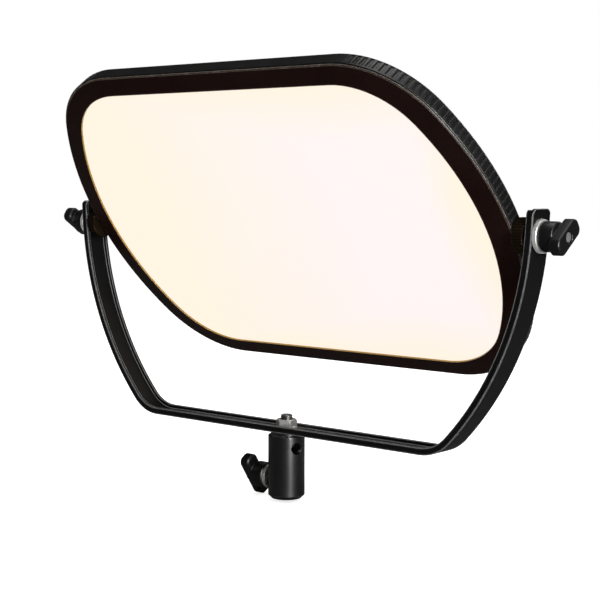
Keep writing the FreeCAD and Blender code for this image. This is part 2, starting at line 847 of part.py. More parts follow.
def wall_taper(y):
    """How far the housing's tapered walls have drawn in at a depth."""
    return housing_draft * (y - cover_rear) / housing_depth


def wall_middle():
    return cover_rear + housing_depth / 2


def housing_side():
    """Widest point of the housing's right wall under the rocker's lip."""
    return housing_width / 2 - wall_taper(wall_middle() - rocker_frame_half_width)


def housing_posts():
    half_w = control_board_width / 2 - board_post_inset
    half_h = control_board_height / 2 - board_post_inset
    return [(sx * half_w, housing_z + sz * half_h) for sx in (1, -1) for sz in (1, -1)]


def make_housing():
    shell = housing_block(0.0, cover_rear, housing_back)
    rim = [e for e in shell.Edges if all(abs(v.Point.y - housing_back) < 1e-6 for v in e.Vertexes)]
    shell = shell.makeChamfer(housing_rim, rim)
    shell = shell.cut(housing_block(housing_wall, cover_rear, housing_inner))
    half_w, half_h = display_width / 2, display_height / 2
    window_seat = round_box(-half_w, half_w, housing_back - display_recess, housing_back + overcut,
                            display_z - half_h, display_z + half_h, display_corner)
    opening = box(-half_w + display_ledge, half_w - display_ledge, housing_inner - overcut, housing_back,
                  display_z - half_h + display_ledge, display_z + half_h - display_ledge)
    shell = shell.cut(window_seat).cut(opening)
    for x, z in dial_places():
        shell = shell.cut(rod(dial_shaft_radius + running_gap, V(x, housing_inner - overcut, z),
                              V(x, housing_back + overcut, z)))
    for x, z in button_places():
        shell = shell.cut(rod(button_radius + running_gap, V(x, housing_inner - overcut, z),
                              V(x, housing_back + overcut, z)))
    for x, z in housing_posts():
        shell = shell.fuse(rod(board_post_radius, V(x, control_board_front, z), V(x, housing_inner, z)))
    shell = shell.cut(rocker_block(display_play))
    low = housing_z - housing_height / 2
    return shell.cut(rod(inlet_radius + fixed_play, V(inlet_x, wall_middle(), low - overcut),
                         V(inlet_x, wall_middle(), low + inlet_depth)))


def make_display_window():
    half_w, half_h = display_width / 2 - display_play, display_height / 2 - display_play
    return round_box(-half_w, half_w, housing_back - display_recess, housing_back - display_play,
                     display_z - half_h, display_z + half_h, display_corner - display_play)


def make_display_module():
    half_w = display_width / 2 - display_ledge - display_play
    half_h = display_height / 2 - display_ledge - display_play
    tray_w, tray_h = half_w + tray_side, half_h + tray_end
    glass = box(-half_w, half_w, housing_inner - display_play, housing_back - display_recess - display_play,
                display_z - half_h, display_z + half_h)
    tray = box(-tray_w, tray_w, control_board_front, housing_inner - display_play,
               display_z - tray_h, display_z + tray_h)
    return tray.fuse(glass)


def make_control_board():
    half_w, half_h = control_board_width / 2, control_board_height / 2
    back = control_board_front - control_board_thickness
    return box(-half_w, half_w, back, control_board_front, housing_z - half_h, housing_z + half_h)


def make_encoders():
    half = encoder_size / 2
    cases = []
    for x, z in dial_places():
        case = box(x - half, x + half, control_board_front, housing_inner - display_play, z - half, z + half)
        bore = rod(dial_shaft_radius + shaft_play, V(x, control_board_front + encoder_floor, z),
                   V(x, housing_back, z))
        cases.append(case.cut(bore))
    return Part.makeCompound(cases)


def make_button_switches():
    half = switch_size / 2
    top = housing_inner - running_gap - button_flange_thickness - button_travel - running_gap
    return Part.makeCompound([box(x - half, x + half, control_board_front, top, z - half, z + half)
                              for x, z in button_places()])


def make_dial_shaft(x, z):
    start = control_board_front + encoder_floor + running_gap
    end = housing_back + dial_gap + dial_height - dial_roof
    return rod(dial_shaft_radius, V(x, start, z), V(x, end, z))


def make_dial(x, z):
    """Fluted knob with a chamfered crown."""
    start = housing_back + dial_gap
    end = start + dial_height
    points = []
    for i in range(2 * dial_flutes):
        angle = math.pi * i / dial_flutes
        radius = dial_radius - (dial_flute_depth if i % 2 else 0.0)
        points.append(V(radius * math.cos(angle), start, radius * math.sin(angle)))
    body = Part.Face(Part.makePolygon(points + [points[0]])).extrude(V(0, dial_height, 0))
    if body.Volume < 0:
        body.reverse()
    rim = dial_radius - dial_dish
    crown = turned([(start, 0), (start, dial_radius), (end - dial_crown, dial_radius),
                    (end, dial_radius - dial_crown), (end, rim),
                    (end - dial_dish_depth, rim - dial_dish_depth), (end - dial_dish_depth, 0)], Y)
    body = body.common(crown)
    body.translate(V(x, 0, z))
    return body.cut(rod(dial_shaft_radius + fixed_play, V(x, start - overcut, z), V(x, end - dial_roof, z)))


def make_button(x, z):
    end = housing_back + button_stand_out
    flange_end = housing_inner - running_gap
    flange = flange_end - button_flange_thickness
    wide = button_radius + running_gap + button_flange
    body = turned([(flange, 0), (flange, wide), (flange_end, wide), (flange_end, button_radius),
                   (end - button_chamfer, button_radius), (end, button_radius - button_chamfer), (end, 0)], Y)
    body.translate(V(x, 0, z))
    return body


# power rocker

def rocker_centre():
    return V(housing_side() - rocker_sink, wall_middle(), rocker_z)


def rocker_block(play):
    """Space taken by the rocker's case in the housing wall."""
    c = rocker_centre()
    half_l = rocker_frame_half_length - rocker_frame_lip + play
    half_w = rocker_frame_half_width - rocker_frame_lip + play
    return box(c.x - rocker_frame_depth, c.x + rocker_rise + overcut, c.y - half_w, c.y + half_w,
               c.z - half_l, c.z + half_l)


def make_rocker_frame():
    c = rocker_centre()
    face = housing_side() + rocker_frame_lip
    half_l, half_w = rocker_frame_half_length, rocker_frame_half_width
    seat = housing_side()
    case_w, case_l = half_w - rocker_frame_lip, half_l - rocker_frame_lip
    case = box(c.x - rocker_frame_depth, seat, c.y - case_w, c.y + case_w, c.z - case_l, c.z + case_l)
    lip = box(seat, face, c.y - half_w, c.y + half_w, c.z - half_l, c.z + half_l)
    reach = math.hypot(rocker_half_length, rocker_rise) + running_gap
    well = box(c.x - rocker_well_depth, face + overcut, c.y - rocker_half_width - running_gap,
               c.y + rocker_half_width + running_gap, c.z - reach, c.z + reach)
    pin = rod(rocker_pin_radius + shaft_play, V(c.x, c.y - rocker_half_width - rocker_pin_length, c.z),
              V(c.x, c.y + rocker_half_width + rocker_pin_length, c.z))
    return case.fuse(lip).cut(well).cut(pin)


def make_rocker():
    c = rocker_centre()
    half = rocker_half_length
    r = rocker_rise
    low = rocker_keel
    foot = half * rocker_taper
    points = [V(r, 0, half), V(r - rocker_dip, 0, 0), V(r, 0, -half), V(-low, 0, -foot), V(-low, 0, foot)]
    body = Part.Face(Part.makePolygon(points + [points[0]])).extrude(V(0, 2 * rocker_half_width, 0))
    body.translate(V(0, -rocker_half_width, 0))
    reach = rocker_half_width + rocker_pin_length - rocker_pin_play
    body = body.fuse(rod(rocker_pin_radius, V(0, -reach, 0), V(0, reach, 0)))
    body.rotate(V(0, 0, 0), Y, rocker_swing)
    body.translate(c)
    return body


def make_inlet():
    seat = housing_z - housing_height / 2 + wall_taper(wall_middle() - inlet_flange_radius)
    edge = inlet_chamfer
    body = turned([(-inlet_flange, 0), (-inlet_flange, inlet_flange_radius - edge),
                   (-inlet_flange + edge, inlet_flange_radius), (0, inlet_flange_radius),
                   (0, inlet_radius), (inlet_depth, inlet_radius), (inlet_depth, 0)], Z)
    body = body.cut(rod(inlet_bore_radius, V(0, 0, -inlet_flange - overcut), V(0, 0, inlet_bore_depth)))
    body = body.fuse(rod(inlet_pin_radius, V(0, 0, inlet_pin_start), V(0, 0, inlet_bore_depth)))
    body.translate(V(inlet_x, wall_middle(), seat))
    return body


# battery plates

def make_battery_plate(side):
    x = side * battery_x
    half_w, half_h = battery_plate_width / 2, battery_plate_height / 2
    top = cover_rear + battery_plate_base
    plate = round_box(x - half_w, x + half_w, cover_rear, top, battery_z - half_h, battery_z + half_h,
                      battery_corner)
    for sx in (1, -1):
        for hz in (battery_low_hook - half_h, half_h - battery_high_hook):
            outer_x = x + sx * (half_w - battery_hook_inset)
            inner_x = outer_x - sx * battery_hook_width
            stem = box(min(outer_x, inner_x), max(outer_x, inner_x), cover_rear, top + battery_hook_rise,
                       battery_z + hz, battery_z + hz + battery_hook_length)
            over_x = outer_x + sx * battery_hook_overhang
            head = box(min(over_x, inner_x), max(over_x, inner_x), top + battery_hook_rise - battery_hook_lip,
                       top + battery_hook_rise, battery_z + hz, battery_z + hz + battery_hook_length)
            plate = plate.fuse(stem).fuse(head)
    block_w = contact_block_width / 2
    block_z = battery_z - half_h + contact_inset
    block = box(x - block_w, x + block_w, cover_rear, top + contact_block_depth,
                block_z, block_z + contact_block_height)
    plate = plate.fuse(block)
    c = latch_centre(side)
    half_x = latch_width / 2 + running_gap
    half_z = latch_height / 2 + running_gap
    hole = box(c.x - half_x, c.x + half_x, cover_rear - overcut, top + overcut, c.z - half_z, c.z + half_z)
    return plate.cut(hole).removeSplitter()


def latch_centre(side):
    return V(side * battery_x, cover_rear, battery_z + latch_z)


def make_latch(side):
    """Spring catch that sinks level with the plate when it is pressed."""
    c = latch_centre(side)
    top = cover_rear + battery_plate_base
    base = cover_rear + latch_travel + running_gap
    half_w, half_h = latch_width / 2, latch_height / 2
    low = c.z - half_h
    points = [V(c.x - half_w, base, low), V(c.x - half_w, top + latch_rise, low),
              V(c.x - half_w, top + latch_toe, c.z + half_h), V(c.x - half_w, base, c.z + half_h)]
    return Part.Face(Part.makePolygon(points + [points[0]])).extrude(V(2 * half_w, 0, 0))


def make_contacts(side):
    top = cover_rear + battery_plate_base
    face = battery_z - battery_plate_height / 2 + contact_inset + contact_block_height
    middle = top + contact_block_depth / 2
    blades = []
    for i in (-1, 0, 1):
        x = side * battery_x + i * contact_pitch
        blades.append(box(x - contact_width / 2, x + contact_width / 2, middle - contact_depth / 2,
                          middle + contact_depth / 2,
                          face, face + contact_height))
    return Part.makeCompound(blades)


# electronics

def make_driver():
    half_w = driver_width / 2
    half_h = driver_height / 2
    y0 = plate_back + driver_lift
    board = box(-half_w, half_w, y0, y0 + driver_thickness, driver_z - half_h, driver_z + half_h)
    for sx in (1, -1):
        for sz in (1, -1):
            x = sx * (half_w - driver_post_inset)
            z = driver_z + sz * (half_h - driver_post_inset)
            board = board.fuse(rod(driver_post_radius, V(x, plate_back, z), V(x, y0, z)))
    return board


def row(count, pitch):
    return [(i - (count - 1) / 2) * pitch for i in range(count)]


def make_driver_parts():
    """Coils and capacitors on the driver board."""
    y0 = plate_back + driver_lift + driver_thickness
    half = coil_size / 2
    z = driver_z + coil_rise
    parts = [box(x - half, x + half, y0, y0 + coil_depth, z - half, z + half)
             for x in row(coil_count, coil_pitch)]
    z = driver_z - capacitor_drop
    parts += [rod(capacitor_radius, V(x, y0, z), V(x, y0 + capacitor_depth, z))
              for x in row(capacitor_count, capacitor_pitch)]
    return Part.makeCompound(parts)


def make_radio():
    back = control_board_front - control_board_thickness
    x0, x1 = radio_x - radio_width / 2, radio_x + radio_width / 2
    z0, z1 = radio_z - radio_height / 2, radio_z + radio_height / 2
    board = box(x0, x1, back - radio_thickness, back, z0, z1)
    can_back = back - radio_thickness
    can = box(x0 + radio_can_edge, x1 - radio_aerial, can_back - radio_can_depth, can_back,
              z0 + radio_can_edge, z1 - radio_can_edge)
    return board.fuse(can)


def main():
    sides = (("left", -1, left_wing_lean), ("right", 1, right_wing_lean))
    save("yoke_bracket", make_yoke())
    save("stand_socket", make_socket())
    save("socket_bolt", make_bolt())
    save("socket_nut", make_nut())
    bar_floor = pivot_height - yoke_drop + yoke_web
    save("socket_washer", ring(washer_radius, bolt_radius + bolt_play, washer_height, bar_floor))
    save("clamp_knob", make_clamp_knob())
    save("clamp_screw", make_clamp_screw())
    for name, side, lean in sides:
        save("tilt_knob_" + name, make_tilt_knob(side, lean))
        save("tilt_stud_" + name, make_tilt_stud(side))
        save("pivot_washer_" + name, make_pivot_washer(side))
        save("pivot_spacer_" + name, make_spacer(side))
        save("battery_plate_" + name, on_pivot(make_battery_plate(side)))
        save("battery_contacts_" + name, on_pivot(make_contacts(side)))
        save("battery_latch_" + name, on_pivot(make_latch(side)))
    save("side_frame", on_pivot(make_side_frame()))
    save("front_bezel", on_pivot(make_bezel()))
    save("diffuser_sheet", on_pivot(make_sheet(diffuser_front, diffuser_back)))
    save("light_guide", on_pivot(make_sheet(diffuser_back, guide_back)))
    save("reflector_sheet", on_pivot(make_sheet(guide_back, reflector_back)))
    save("back_plate", on_pivot(make_back_plate()))
    for name, sign in (("top", 1), ("bottom", -1)):
        save("led_board_" + name, on_pivot(make_led_board(sign)))
        save("led_row_" + name, on_pivot(make_leds(sign)))
    save("rear_cover", on_pivot(make_rear_cover()))
    save("rear_cover_screws", on_pivot(make_cover_screws()))
    save("control_housing", on_pivot(make_housing()))
    save("display_window", on_pivot(make_display_window()))
    save("display_module", on_pivot(make_display_module()))
    save("control_board", on_pivot(make_control_board()))
    save("encoder_cases", on_pivot(make_encoders()))
    save("button_switches", on_pivot(make_button_switches()))
    for name, place in zip(("brightness", "colour"), dial_places()):
        save(name + "_dial", on_pivot(make_dial(*place)))
        save(name + "_shaft", on_pivot(make_dial_shaft(*place)))
    for name, place in zip(("mode", "channel", "menu"), button_places()):
        save(name + "_button", on_pivot(make_button(*place)))
    save("rocker_frame", on_pivot(make_rocker_frame()))
    save("power_rocker", on_pivot(make_rocker()))
    save("power_inlet", on_pivot(make_inlet()))
    save("driver_board", on_pivot(make_driver()))
    save("driver_parts", on_pivot(make_driver_parts()))
    save("radio_module", on_pivot(make_radio()))


main()
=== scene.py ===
import json
import math

import bmesh
import bpy
from mathutils import Matrix, Vector

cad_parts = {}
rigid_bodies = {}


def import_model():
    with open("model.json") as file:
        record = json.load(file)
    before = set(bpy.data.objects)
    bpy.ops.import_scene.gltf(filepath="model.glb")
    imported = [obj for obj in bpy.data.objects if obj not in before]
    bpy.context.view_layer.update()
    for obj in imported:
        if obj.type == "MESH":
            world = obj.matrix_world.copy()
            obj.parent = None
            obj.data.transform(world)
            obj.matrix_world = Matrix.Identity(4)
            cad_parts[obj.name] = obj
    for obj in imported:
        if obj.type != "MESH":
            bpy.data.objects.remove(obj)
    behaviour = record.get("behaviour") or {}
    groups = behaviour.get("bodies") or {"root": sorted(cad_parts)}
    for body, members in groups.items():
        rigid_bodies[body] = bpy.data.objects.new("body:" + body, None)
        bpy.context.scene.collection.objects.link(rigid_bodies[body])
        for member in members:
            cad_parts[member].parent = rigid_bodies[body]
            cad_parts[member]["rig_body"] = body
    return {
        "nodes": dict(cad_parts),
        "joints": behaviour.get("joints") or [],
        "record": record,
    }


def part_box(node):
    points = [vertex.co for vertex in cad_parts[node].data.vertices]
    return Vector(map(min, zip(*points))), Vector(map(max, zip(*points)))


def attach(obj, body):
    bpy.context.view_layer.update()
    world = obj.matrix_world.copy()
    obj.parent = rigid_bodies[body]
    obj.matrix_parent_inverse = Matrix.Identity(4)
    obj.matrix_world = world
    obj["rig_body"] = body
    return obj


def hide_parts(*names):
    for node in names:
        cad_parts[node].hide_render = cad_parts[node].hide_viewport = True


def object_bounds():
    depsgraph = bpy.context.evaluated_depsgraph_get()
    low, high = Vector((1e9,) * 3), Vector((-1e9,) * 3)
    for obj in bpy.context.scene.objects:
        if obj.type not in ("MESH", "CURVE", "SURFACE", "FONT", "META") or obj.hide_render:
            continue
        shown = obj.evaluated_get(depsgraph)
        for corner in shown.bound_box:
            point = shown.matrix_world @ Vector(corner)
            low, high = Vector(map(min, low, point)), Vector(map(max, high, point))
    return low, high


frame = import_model()
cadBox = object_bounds()
cad = frame["nodes"]
joints = {joint["name"]: joint for joint in frame["joints"]}

# the panel is worked on upright, about its pivot, and then leaned into the yoke
pivot = Vector(joints["tilt"]["pos_m"])
backAxis = Vector(joints["brightness_turn"]["axis"])
panelLean = math.atan2(backAxis.z, backAxis.y)
panelPlace = Matrix.Translation(pivot) @ Matrix.Rotation(panelLean, 4, "X")


def uprightPoints(node):  # a CAD node's points in the upright panel's axes
    back = panelPlace.inverted()
    return [back @ v.co for v in cad[node].data.vertices]


def uprightBox(node):  # its lowest and highest corner in those axes
    points = uprightPoints(node)
    return (Vector([min(p[i] for p in points) for i in range(3)]),
            Vector([max(p[i] for p in points) for i in range(3)]))


def addNode(tree, kind, inputs=None, **settings):
    made = tree.nodes.new(kind)
    for key, value in settings.items():
        setattr(made, key, value)
    for key, value in (inputs or {}).items():
        if isinstance(value, bpy.types.NodeSocket):
            tree.links.new(value, made.inputs[key])
        else:
            made.inputs[key].default_value = value
    return made


def addMath(tree, operation, a, b=0.0, clamp=False):
    return addNode(tree, "ShaderNodeMath", {0: a, 1: b}, operation=operation, use_clamp=clamp).outputs[0]


def addMix(tree, factor, a, b):  # a colour mix; its sockets 0, 6, 7 and 2 are factor, A, B and result
    return addNode(tree, "ShaderNodeMix", {0: factor, 6: a, 7: b}, data_type="RGBA").outputs[2]


def addRange(tree, value, low, high, outLow=0.0, outHigh=1.0):
    return addNode(tree, "ShaderNodeMapRange", {"Value": value, "From Min": low, "From Max": high,
                                                "To Min": outLow, "To Max": outHigh}).outputs[0]


def rgba(colour):
    return (*colour, 1.0)


def grey(level):
    return (level, level, level)


def newShaderGroup(name, inputs, outputs):
    tree = bpy.data.node_groups.new(name, "ShaderNodeTree")
    for label, kind, value in inputs:
        tree.interface.new_socket(name=label, in_out="INPUT", socket_type=kind).default_value = value
    for label, kind in outputs:
        tree.interface.new_socket(name=label, in_out="OUTPUT", socket_type=kind)
    return tree, tree.nodes.new("NodeGroupInput").outputs, tree.nodes.new("NodeGroupOutput").inputs


def buildGrainGroup():  # moulded or painted skin: fine pits over a slow unevenness
    tree, given, out = newShaderGroup(
        "Skin grain",
        [("Scale", "NodeSocketFloat", 900.0), ("Pits", "NodeSocketFloat", 0.5),
         ("Cloud Scale", "NodeSocketFloat", 14.0)],
        [("Height", "NodeSocketFloat"), ("Cloud", "NodeSocketFloat")])
    place = addNode(tree, "ShaderNodeTexCoord").outputs["Object"]
    cells = addNode(tree, "ShaderNodeTexVoronoi", {"Vector": place, "Scale": given["Scale"]},
                    feature="SMOOTH_F1")
    soft = addNode(tree, "ShaderNodeTexNoise", {"Vector": place, "Scale": given["Scale"], "Detail": 3.0})
    pits = addMath(tree, "MULTIPLY", cells.outputs["Distance"], given["Pits"])
    tree.links.new(addMath(tree, "ADD", pits, soft.outputs["Fac"]), out["Height"])
    cloud = addNode(tree, "ShaderNodeTexNoise", {"Vector": place, "Scale": given["Cloud Scale"],
                                                 "Detail": 4.0, "Roughness": 0.6})
    tree.links.new(cloud.outputs["Fac"], out["Cloud"])
    return tree


def buildWearAndHighlightGroup():  # pale rim along the edges: edge wear, and a painted highlight where a skin makes the rim pale and unbroken
    tree, given, out = newShaderGroup(
        "Edge wear",
        [("Radius", "NodeSocketFloat", 0.0006), ("Amount", "NodeSocketFloat", 0.5),
         ("Breakup", "NodeSocketFloat", 220.0), ("Least", "NodeSocketFloat", 0.0)],
        [("Mask", "NodeSocketFloat"), ("Normal", "NodeSocketVector")])
    rounded = addNode(tree, "ShaderNodeBevel", {"Radius": given["Radius"]}, samples=6).outputs[0]
    flat = addNode(tree, "ShaderNodeNewGeometry").outputs["Normal"]
    same = addNode(tree, "ShaderNodeVectorMath", {0: rounded, 1: flat}, operation="DOT_PRODUCT")
    edge = addRange(tree, same.outputs["Value"], 0.995, 0.86)
    place = addNode(tree, "ShaderNodeTexCoord").outputs["Object"]
    patches = addNode(tree, "ShaderNodeTexNoise", {"Vector": place, "Scale": given["Breakup"],
                                                   "Detail": 3.0})
    broken = addMath(tree, "MAXIMUM", addRange(tree, patches.outputs["Fac"], 0.42, 0.62), given["Least"])
    wornAndHighlight = addMath(tree, "MULTIPLY", edge, broken)
    tree.links.new(addMath(tree, "MULTIPLY", wornAndHighlight, given["Amount"], True), out["Mask"])
    tree.links.new(rounded, out["Normal"])
    return tree


def buildDustGroup():  # pale dust lying on what faces up, thicker in patches
    tree, given, out = newShaderGroup(
        "Settled dust",
        [("Amount", "NodeSocketFloat", 0.1), ("Scale", "NodeSocketFloat", 60.0)],
        [("Mask", "NodeSocketFloat")])
    where = addNode(tree, "ShaderNodeTexCoord")
    up = addNode(tree, "ShaderNodeSeparateXYZ", {0: where.outputs["Normal"]}).outputs["Z"]
    flat = addRange(tree, up, 0.25, 0.95)
    specks = addNode(tree, "ShaderNodeTexNoise", {"Vector": where.outputs["Object"],
                                                  "Scale": given["Scale"], "Detail": 8.0,
                                                  "Roughness": 0.75})
    patchy = addRange(tree, specks.outputs["Fac"], 0.42, 0.72)
    lying = addMath(tree, "MULTIPLY", flat, patchy)
    tree.links.new(addMath(tree, "MULTIPLY", lying, given["Amount"], True), out["Mask"])
    return tree


def buildBrushGroup():  # drawn or turned metal: noise stretched along one direction
    tree, given, out = newShaderGroup(
        "Tool marks",
        [("Stretch", "NodeSocketVector", (30.0, 30.0, 2500.0)), ("Contrast", "NodeSocketFloat", 1.0)],
        [("Height", "NodeSocketFloat"), ("Streak", "NodeSocketFloat")])
    place = addNode(tree, "ShaderNodeTexCoord").outputs["Object"]
    pulled = addNode(tree, "ShaderNodeVectorMath", {0: place, 1: given["Stretch"]}, operation="MULTIPLY")
    lines = addNode(tree, "ShaderNodeTexNoise", {"Vector": pulled.outputs[0], "Scale": 1.0, "Detail": 5.0,
                                                 "Roughness": 0.7})
    centred = addMath(tree, "SUBTRACT", lines.outputs["Fac"], 0.5)
    tree.links.new(addMath(tree, "MULTIPLY", centred, given["Contrast"]), out["Height"])
    tree.links.new(addRange(tree, lines.outputs["Fac"], 0.3, 0.7), out["Streak"])
    return tree


grainGroup = buildGrainGroup()
wearAndHighlightGroup = buildWearAndHighlightGroup()
dustGroup = buildDustGroup()
brushGroup = buildBrushGroup()


def placeGroup(tree, group, **values):
    made = tree.nodes.new("ShaderNodeGroup")
    made.node_tree = group
    for key, value in values.items():
        made.inputs[key.replace("_", " ")].default_value = value
    return made.outputs


def startMaterial(name, **constants):
    material = bpy.data.materials.new(name)
    material.use_nodes = True
    tree = material.node_tree
    shader = tree.nodes["Principled BSDF"]
    for key, value in constants.items():
        shader.inputs[key.replace("_", " ")].default_value = value
    return material, tree, shader


def plug(tree, shader, **values):  # what drives the shader's sockets
    for key, value in values.items():
        tree.links.new(value, shader.inputs[key.replace("_", " ")])


def addBump(tree, height, strength, normal=None):
    inputs = {"Height": height, "Strength": strength, "Distance": 0.0001}  # a tenth of a millimetre at most
    if normal is not None:
        inputs["Normal"] = normal
    return addNode(tree, "ShaderNodeBump", inputs).outputs[0]


dustColour = (0.34, 0.32, 0.3)


def darkSkin(name, look):  # black mouldings and paint
    material, tree, shader = startMaterial(name, IOR=1.5, Specular_IOR_Level=look.get("shine", 0.28))
    grain = placeGroup(tree, grainGroup, Scale=look["grainScale"], Pits=look["pits"],
                       Cloud_Scale=look.get("cloudScale", 14.0))
    wearAndHighlight = placeGroup(tree, wearAndHighlightGroup, Radius=look["edge"], Amount=look["wearAndHighlight"],
                      Least=look.get("least", 0.0))
    dust = placeGroup(tree, dustGroup, Amount=look["dust"])
    cloud = addRange(tree, grain["Cloud"], 0.35, 0.65)
    colour = addMix(tree, cloud, rgba(look["colour"]), rgba(look["pale"]))
    # pale rim colour along the edges: edge wear, and a painted highlight on the yoke and the socket
    colour = addMix(tree, wearAndHighlight["Mask"], colour, rgba(look["wornAndHighlight"]))
    colour = addMix(tree, dust["Mask"], colour, rgba(dustColour))
    rough = addRange(tree, grain["Cloud"], 0.3, 0.7, look["rough"] - 0.05, look["rough"] + 0.05)
    rough = addMath(tree, "SUBTRACT", rough, addMath(tree, "MULTIPLY", wearAndHighlight["Mask"], 0.12))
    rough = addMath(tree, "ADD", rough, addMath(tree, "MULTIPLY", dust["Mask"], 0.3), True)
    plug(tree, shader, Base_Color=colour, Roughness=rough,
         Normal=addBump(tree, grain["Height"], look["relief"], wearAndHighlight["Normal"]))
    return material


def bareMetal(name, look):  # plated, turned or rolled metal
    material, tree, shader = startMaterial(name, Metallic=look.get("metal", 1.0))
    marks = placeGroup(tree, brushGroup, Stretch=look["stretch"], Contrast=look["marks"])
    wearAndHighlight = placeGroup(tree, wearAndHighlightGroup, Radius=look["edge"], Amount=0.5)
    stain = placeGroup(tree, grainGroup, Scale=700.0, Cloud_Scale=120.0)
    stained = addRange(tree, stain["Cloud"], 0.5, 0.75)
    colour = addMix(tree, marks["Streak"], rgba(look["colour"]), rgba(look["bright"]))
    colour = addMix(tree, stained, colour, rgba(look["stain"]))
    colour = addMix(tree, wearAndHighlight["Mask"], colour, rgba(look["bright"]))
    rough = addRange(tree, marks["Streak"], 0.0, 1.0, look["rough"] + 0.08, look["rough"] - 0.04)
    rough = addMath(tree, "ADD", rough, addMath(tree, "MULTIPLY", stained, 0.12), True)
    plug(tree, shader, Base_Color=colour, Roughness=rough,
         Normal=addBump(tree, marks["Height"], look["relief"], wearAndHighlight["Normal"]))
    return material


# colours are linear, edge is the pale rim's width in metres, least is how unbroken that rim is; the pale
# rim is edge wear, and on the yoke, the socket and the bezel a painted highlight
skins = {
    # yoke: the pale, nearly unbroken edge colour is a painted highlight, the thin light lines along the
    # yoke's edges
    "yoke_paint": dict(
        colour=(0.0022, 0.0022, 0.0025), pale=(0.0036, 0.0036, 0.004), wornAndHighlight=(0.55, 0.55, 0.56),
        rough=0.38, grainScale=1500.0, pits=0.6, relief=0.28, edge=0.0011, wearAndHighlight=0.95, dust=0.004,
        least=0.8, shine=0.12),
    # socket: the pale edge colour is a painted highlight for the bright arc on its shoulder, and it lies
    # along the other edges too
    "socket_paint": dict(
        colour=grey(0.0018), pale=grey(0.003), wornAndHighlight=(0.25, 0.25, 0.26),
        rough=0.24, grainScale=1800.0, pits=0.3, relief=0.06, edge=0.0006, wearAndHighlight=0.45, dust=0.004,
        shine=0.5),
    "knob_plastic": dict(
        colour=grey(0.0025), pale=grey(0.0045), wornAndHighlight=grey(0.1),
        rough=0.36, grainScale=2200.0, pits=0.8, relief=0.25, edge=0.0009, wearAndHighlight=0.5, dust=0.005,
        shine=0.2),
    "cover_plastic": dict(
        colour=(0.0085, 0.0085, 0.009), pale=(0.0105, 0.0105, 0.011), wornAndHighlight=grey(0.08),
        rough=0.5, grainScale=2400.0, pits=1.0, relief=0.5, edge=0.0007, wearAndHighlight=0.45, dust=0.02,
        cloudScale=30.0),
    "housing_plastic": dict(
        colour=(0.007, 0.007, 0.0075), pale=(0.011, 0.011, 0.0115), wornAndHighlight=grey(0.07),
        rough=0.42, grainScale=2600.0, pits=1.0, relief=0.42, edge=0.0008, wearAndHighlight=0.45, dust=0.02,
        cloudScale=30.0),
    "frame_plastic": dict(
        colour=(0.0024, 0.0024, 0.0023), pale=(0.004, 0.004, 0.0038), wornAndHighlight=(0.12, 0.115, 0.105),
        rough=0.36, grainScale=2200.0, pits=0.6, relief=0.22, edge=0.0004, wearAndHighlight=0.35, dust=0.015,
        shine=0.2),
    "dial_plastic": dict(
        colour=grey(0.012), pale=grey(0.02), wornAndHighlight=grey(0.09), rough=0.4,
        grainScale=2200.0, pits=0.7, relief=0.3, edge=0.0004, wearAndHighlight=0.5, dust=0.06),
    "button_plastic": dict(
        colour=(0.05, 0.05, 0.054), pale=(0.07, 0.07, 0.075), wornAndHighlight=grey(0.16), rough=0.45,
        grainScale=2400.0, pits=0.8, relief=0.25, edge=0.0004, wearAndHighlight=0.3, dust=0.08),
    "rocker_plastic": dict(
        colour=grey(0.009), pale=grey(0.013), wornAndHighlight=grey(0.06),
        rough=0.2, grainScale=1800.0, pits=0.2, relief=0.06, edge=0.0004, wearAndHighlight=0.2, dust=0.1),
    "black_screw": dict(
        colour=(0.022, 0.022, 0.023), pale=(0.035, 0.035, 0.036), wornAndHighlight=grey(0.3), rough=0.32,
        grainScale=2600.0, pits=0.3, relief=0.12, edge=0.0003, wearAndHighlight=0.6, dust=0.05),
    "component": dict(
        colour=grey(0.02), pale=grey(0.03), wornAndHighlight=grey(0.08), rough=0.5,
        grainScale=2600.0, pits=0.6, relief=0.3, edge=0.0002, wearAndHighlight=0.1, dust=0.05),
}
# stretch pulls the tool marks out along the axis with the small number
metals = {
    "zinc": dict(
        colour=(0.46, 0.46, 0.45), bright=(0.7, 0.7, 0.68), stain=(0.3, 0.3, 0.29), metal=0.8,
        rough=0.26, stretch=(2600.0, 30.0, 30.0), marks=1.0, relief=0.2, edge=0.0003),
    "dull_zinc": dict(
        colour=(0.5, 0.5, 0.49), bright=(0.66, 0.66, 0.64), stain=(0.42, 0.42, 0.4), metal=0.45,
        rough=0.36, stretch=(2600.0, 30.0, 30.0), marks=0.8, relief=0.15, edge=0.0003),
    "blackened_steel": dict(
        colour=(0.05, 0.05, 0.052), bright=grey(0.16), stain=(0.02, 0.02, 0.021),
        rough=0.3, stretch=(200.0, 200.0, 2000.0), marks=1.0, relief=0.2, edge=0.0002),
    # brass: the colours are darkened to near black, painted shade for the serrated disc, which sits mostly
    # in shadow
    "brass": dict(
        colour=(0.012, 0.0075, 0.005), bright=(0.07, 0.046, 0.024), stain=(0.01, 0.007, 0.005),
        rough=0.32, stretch=(2200.0, 30.0, 30.0), marks=1.2, relief=0.3, edge=0.0003),
    "contact_gold": dict(
        colour=(0.72, 0.52, 0.22), bright=(0.9, 0.7, 0.36), stain=(0.45, 0.32, 0.15), rough=0.25,
        stretch=(40.0, 2400.0, 40.0), marks=0.7, relief=0.1, edge=0.0002),
    "plate_aluminium": dict(
        colour=(0.38, 0.38, 0.39), bright=(0.52, 0.52, 0.53), stain=(0.3, 0.3, 0.31), rough=0.34,
        stretch=(30.0, 1600.0, 1600.0), marks=0.8, relief=0.2, edge=0.0003),
}
finishes = {name: darkSkin(name + "_finish", look) for name, look in skins.items()}
finishes.update({name: bareMetal(name + "_finish", look) for name, look in metals.items()})


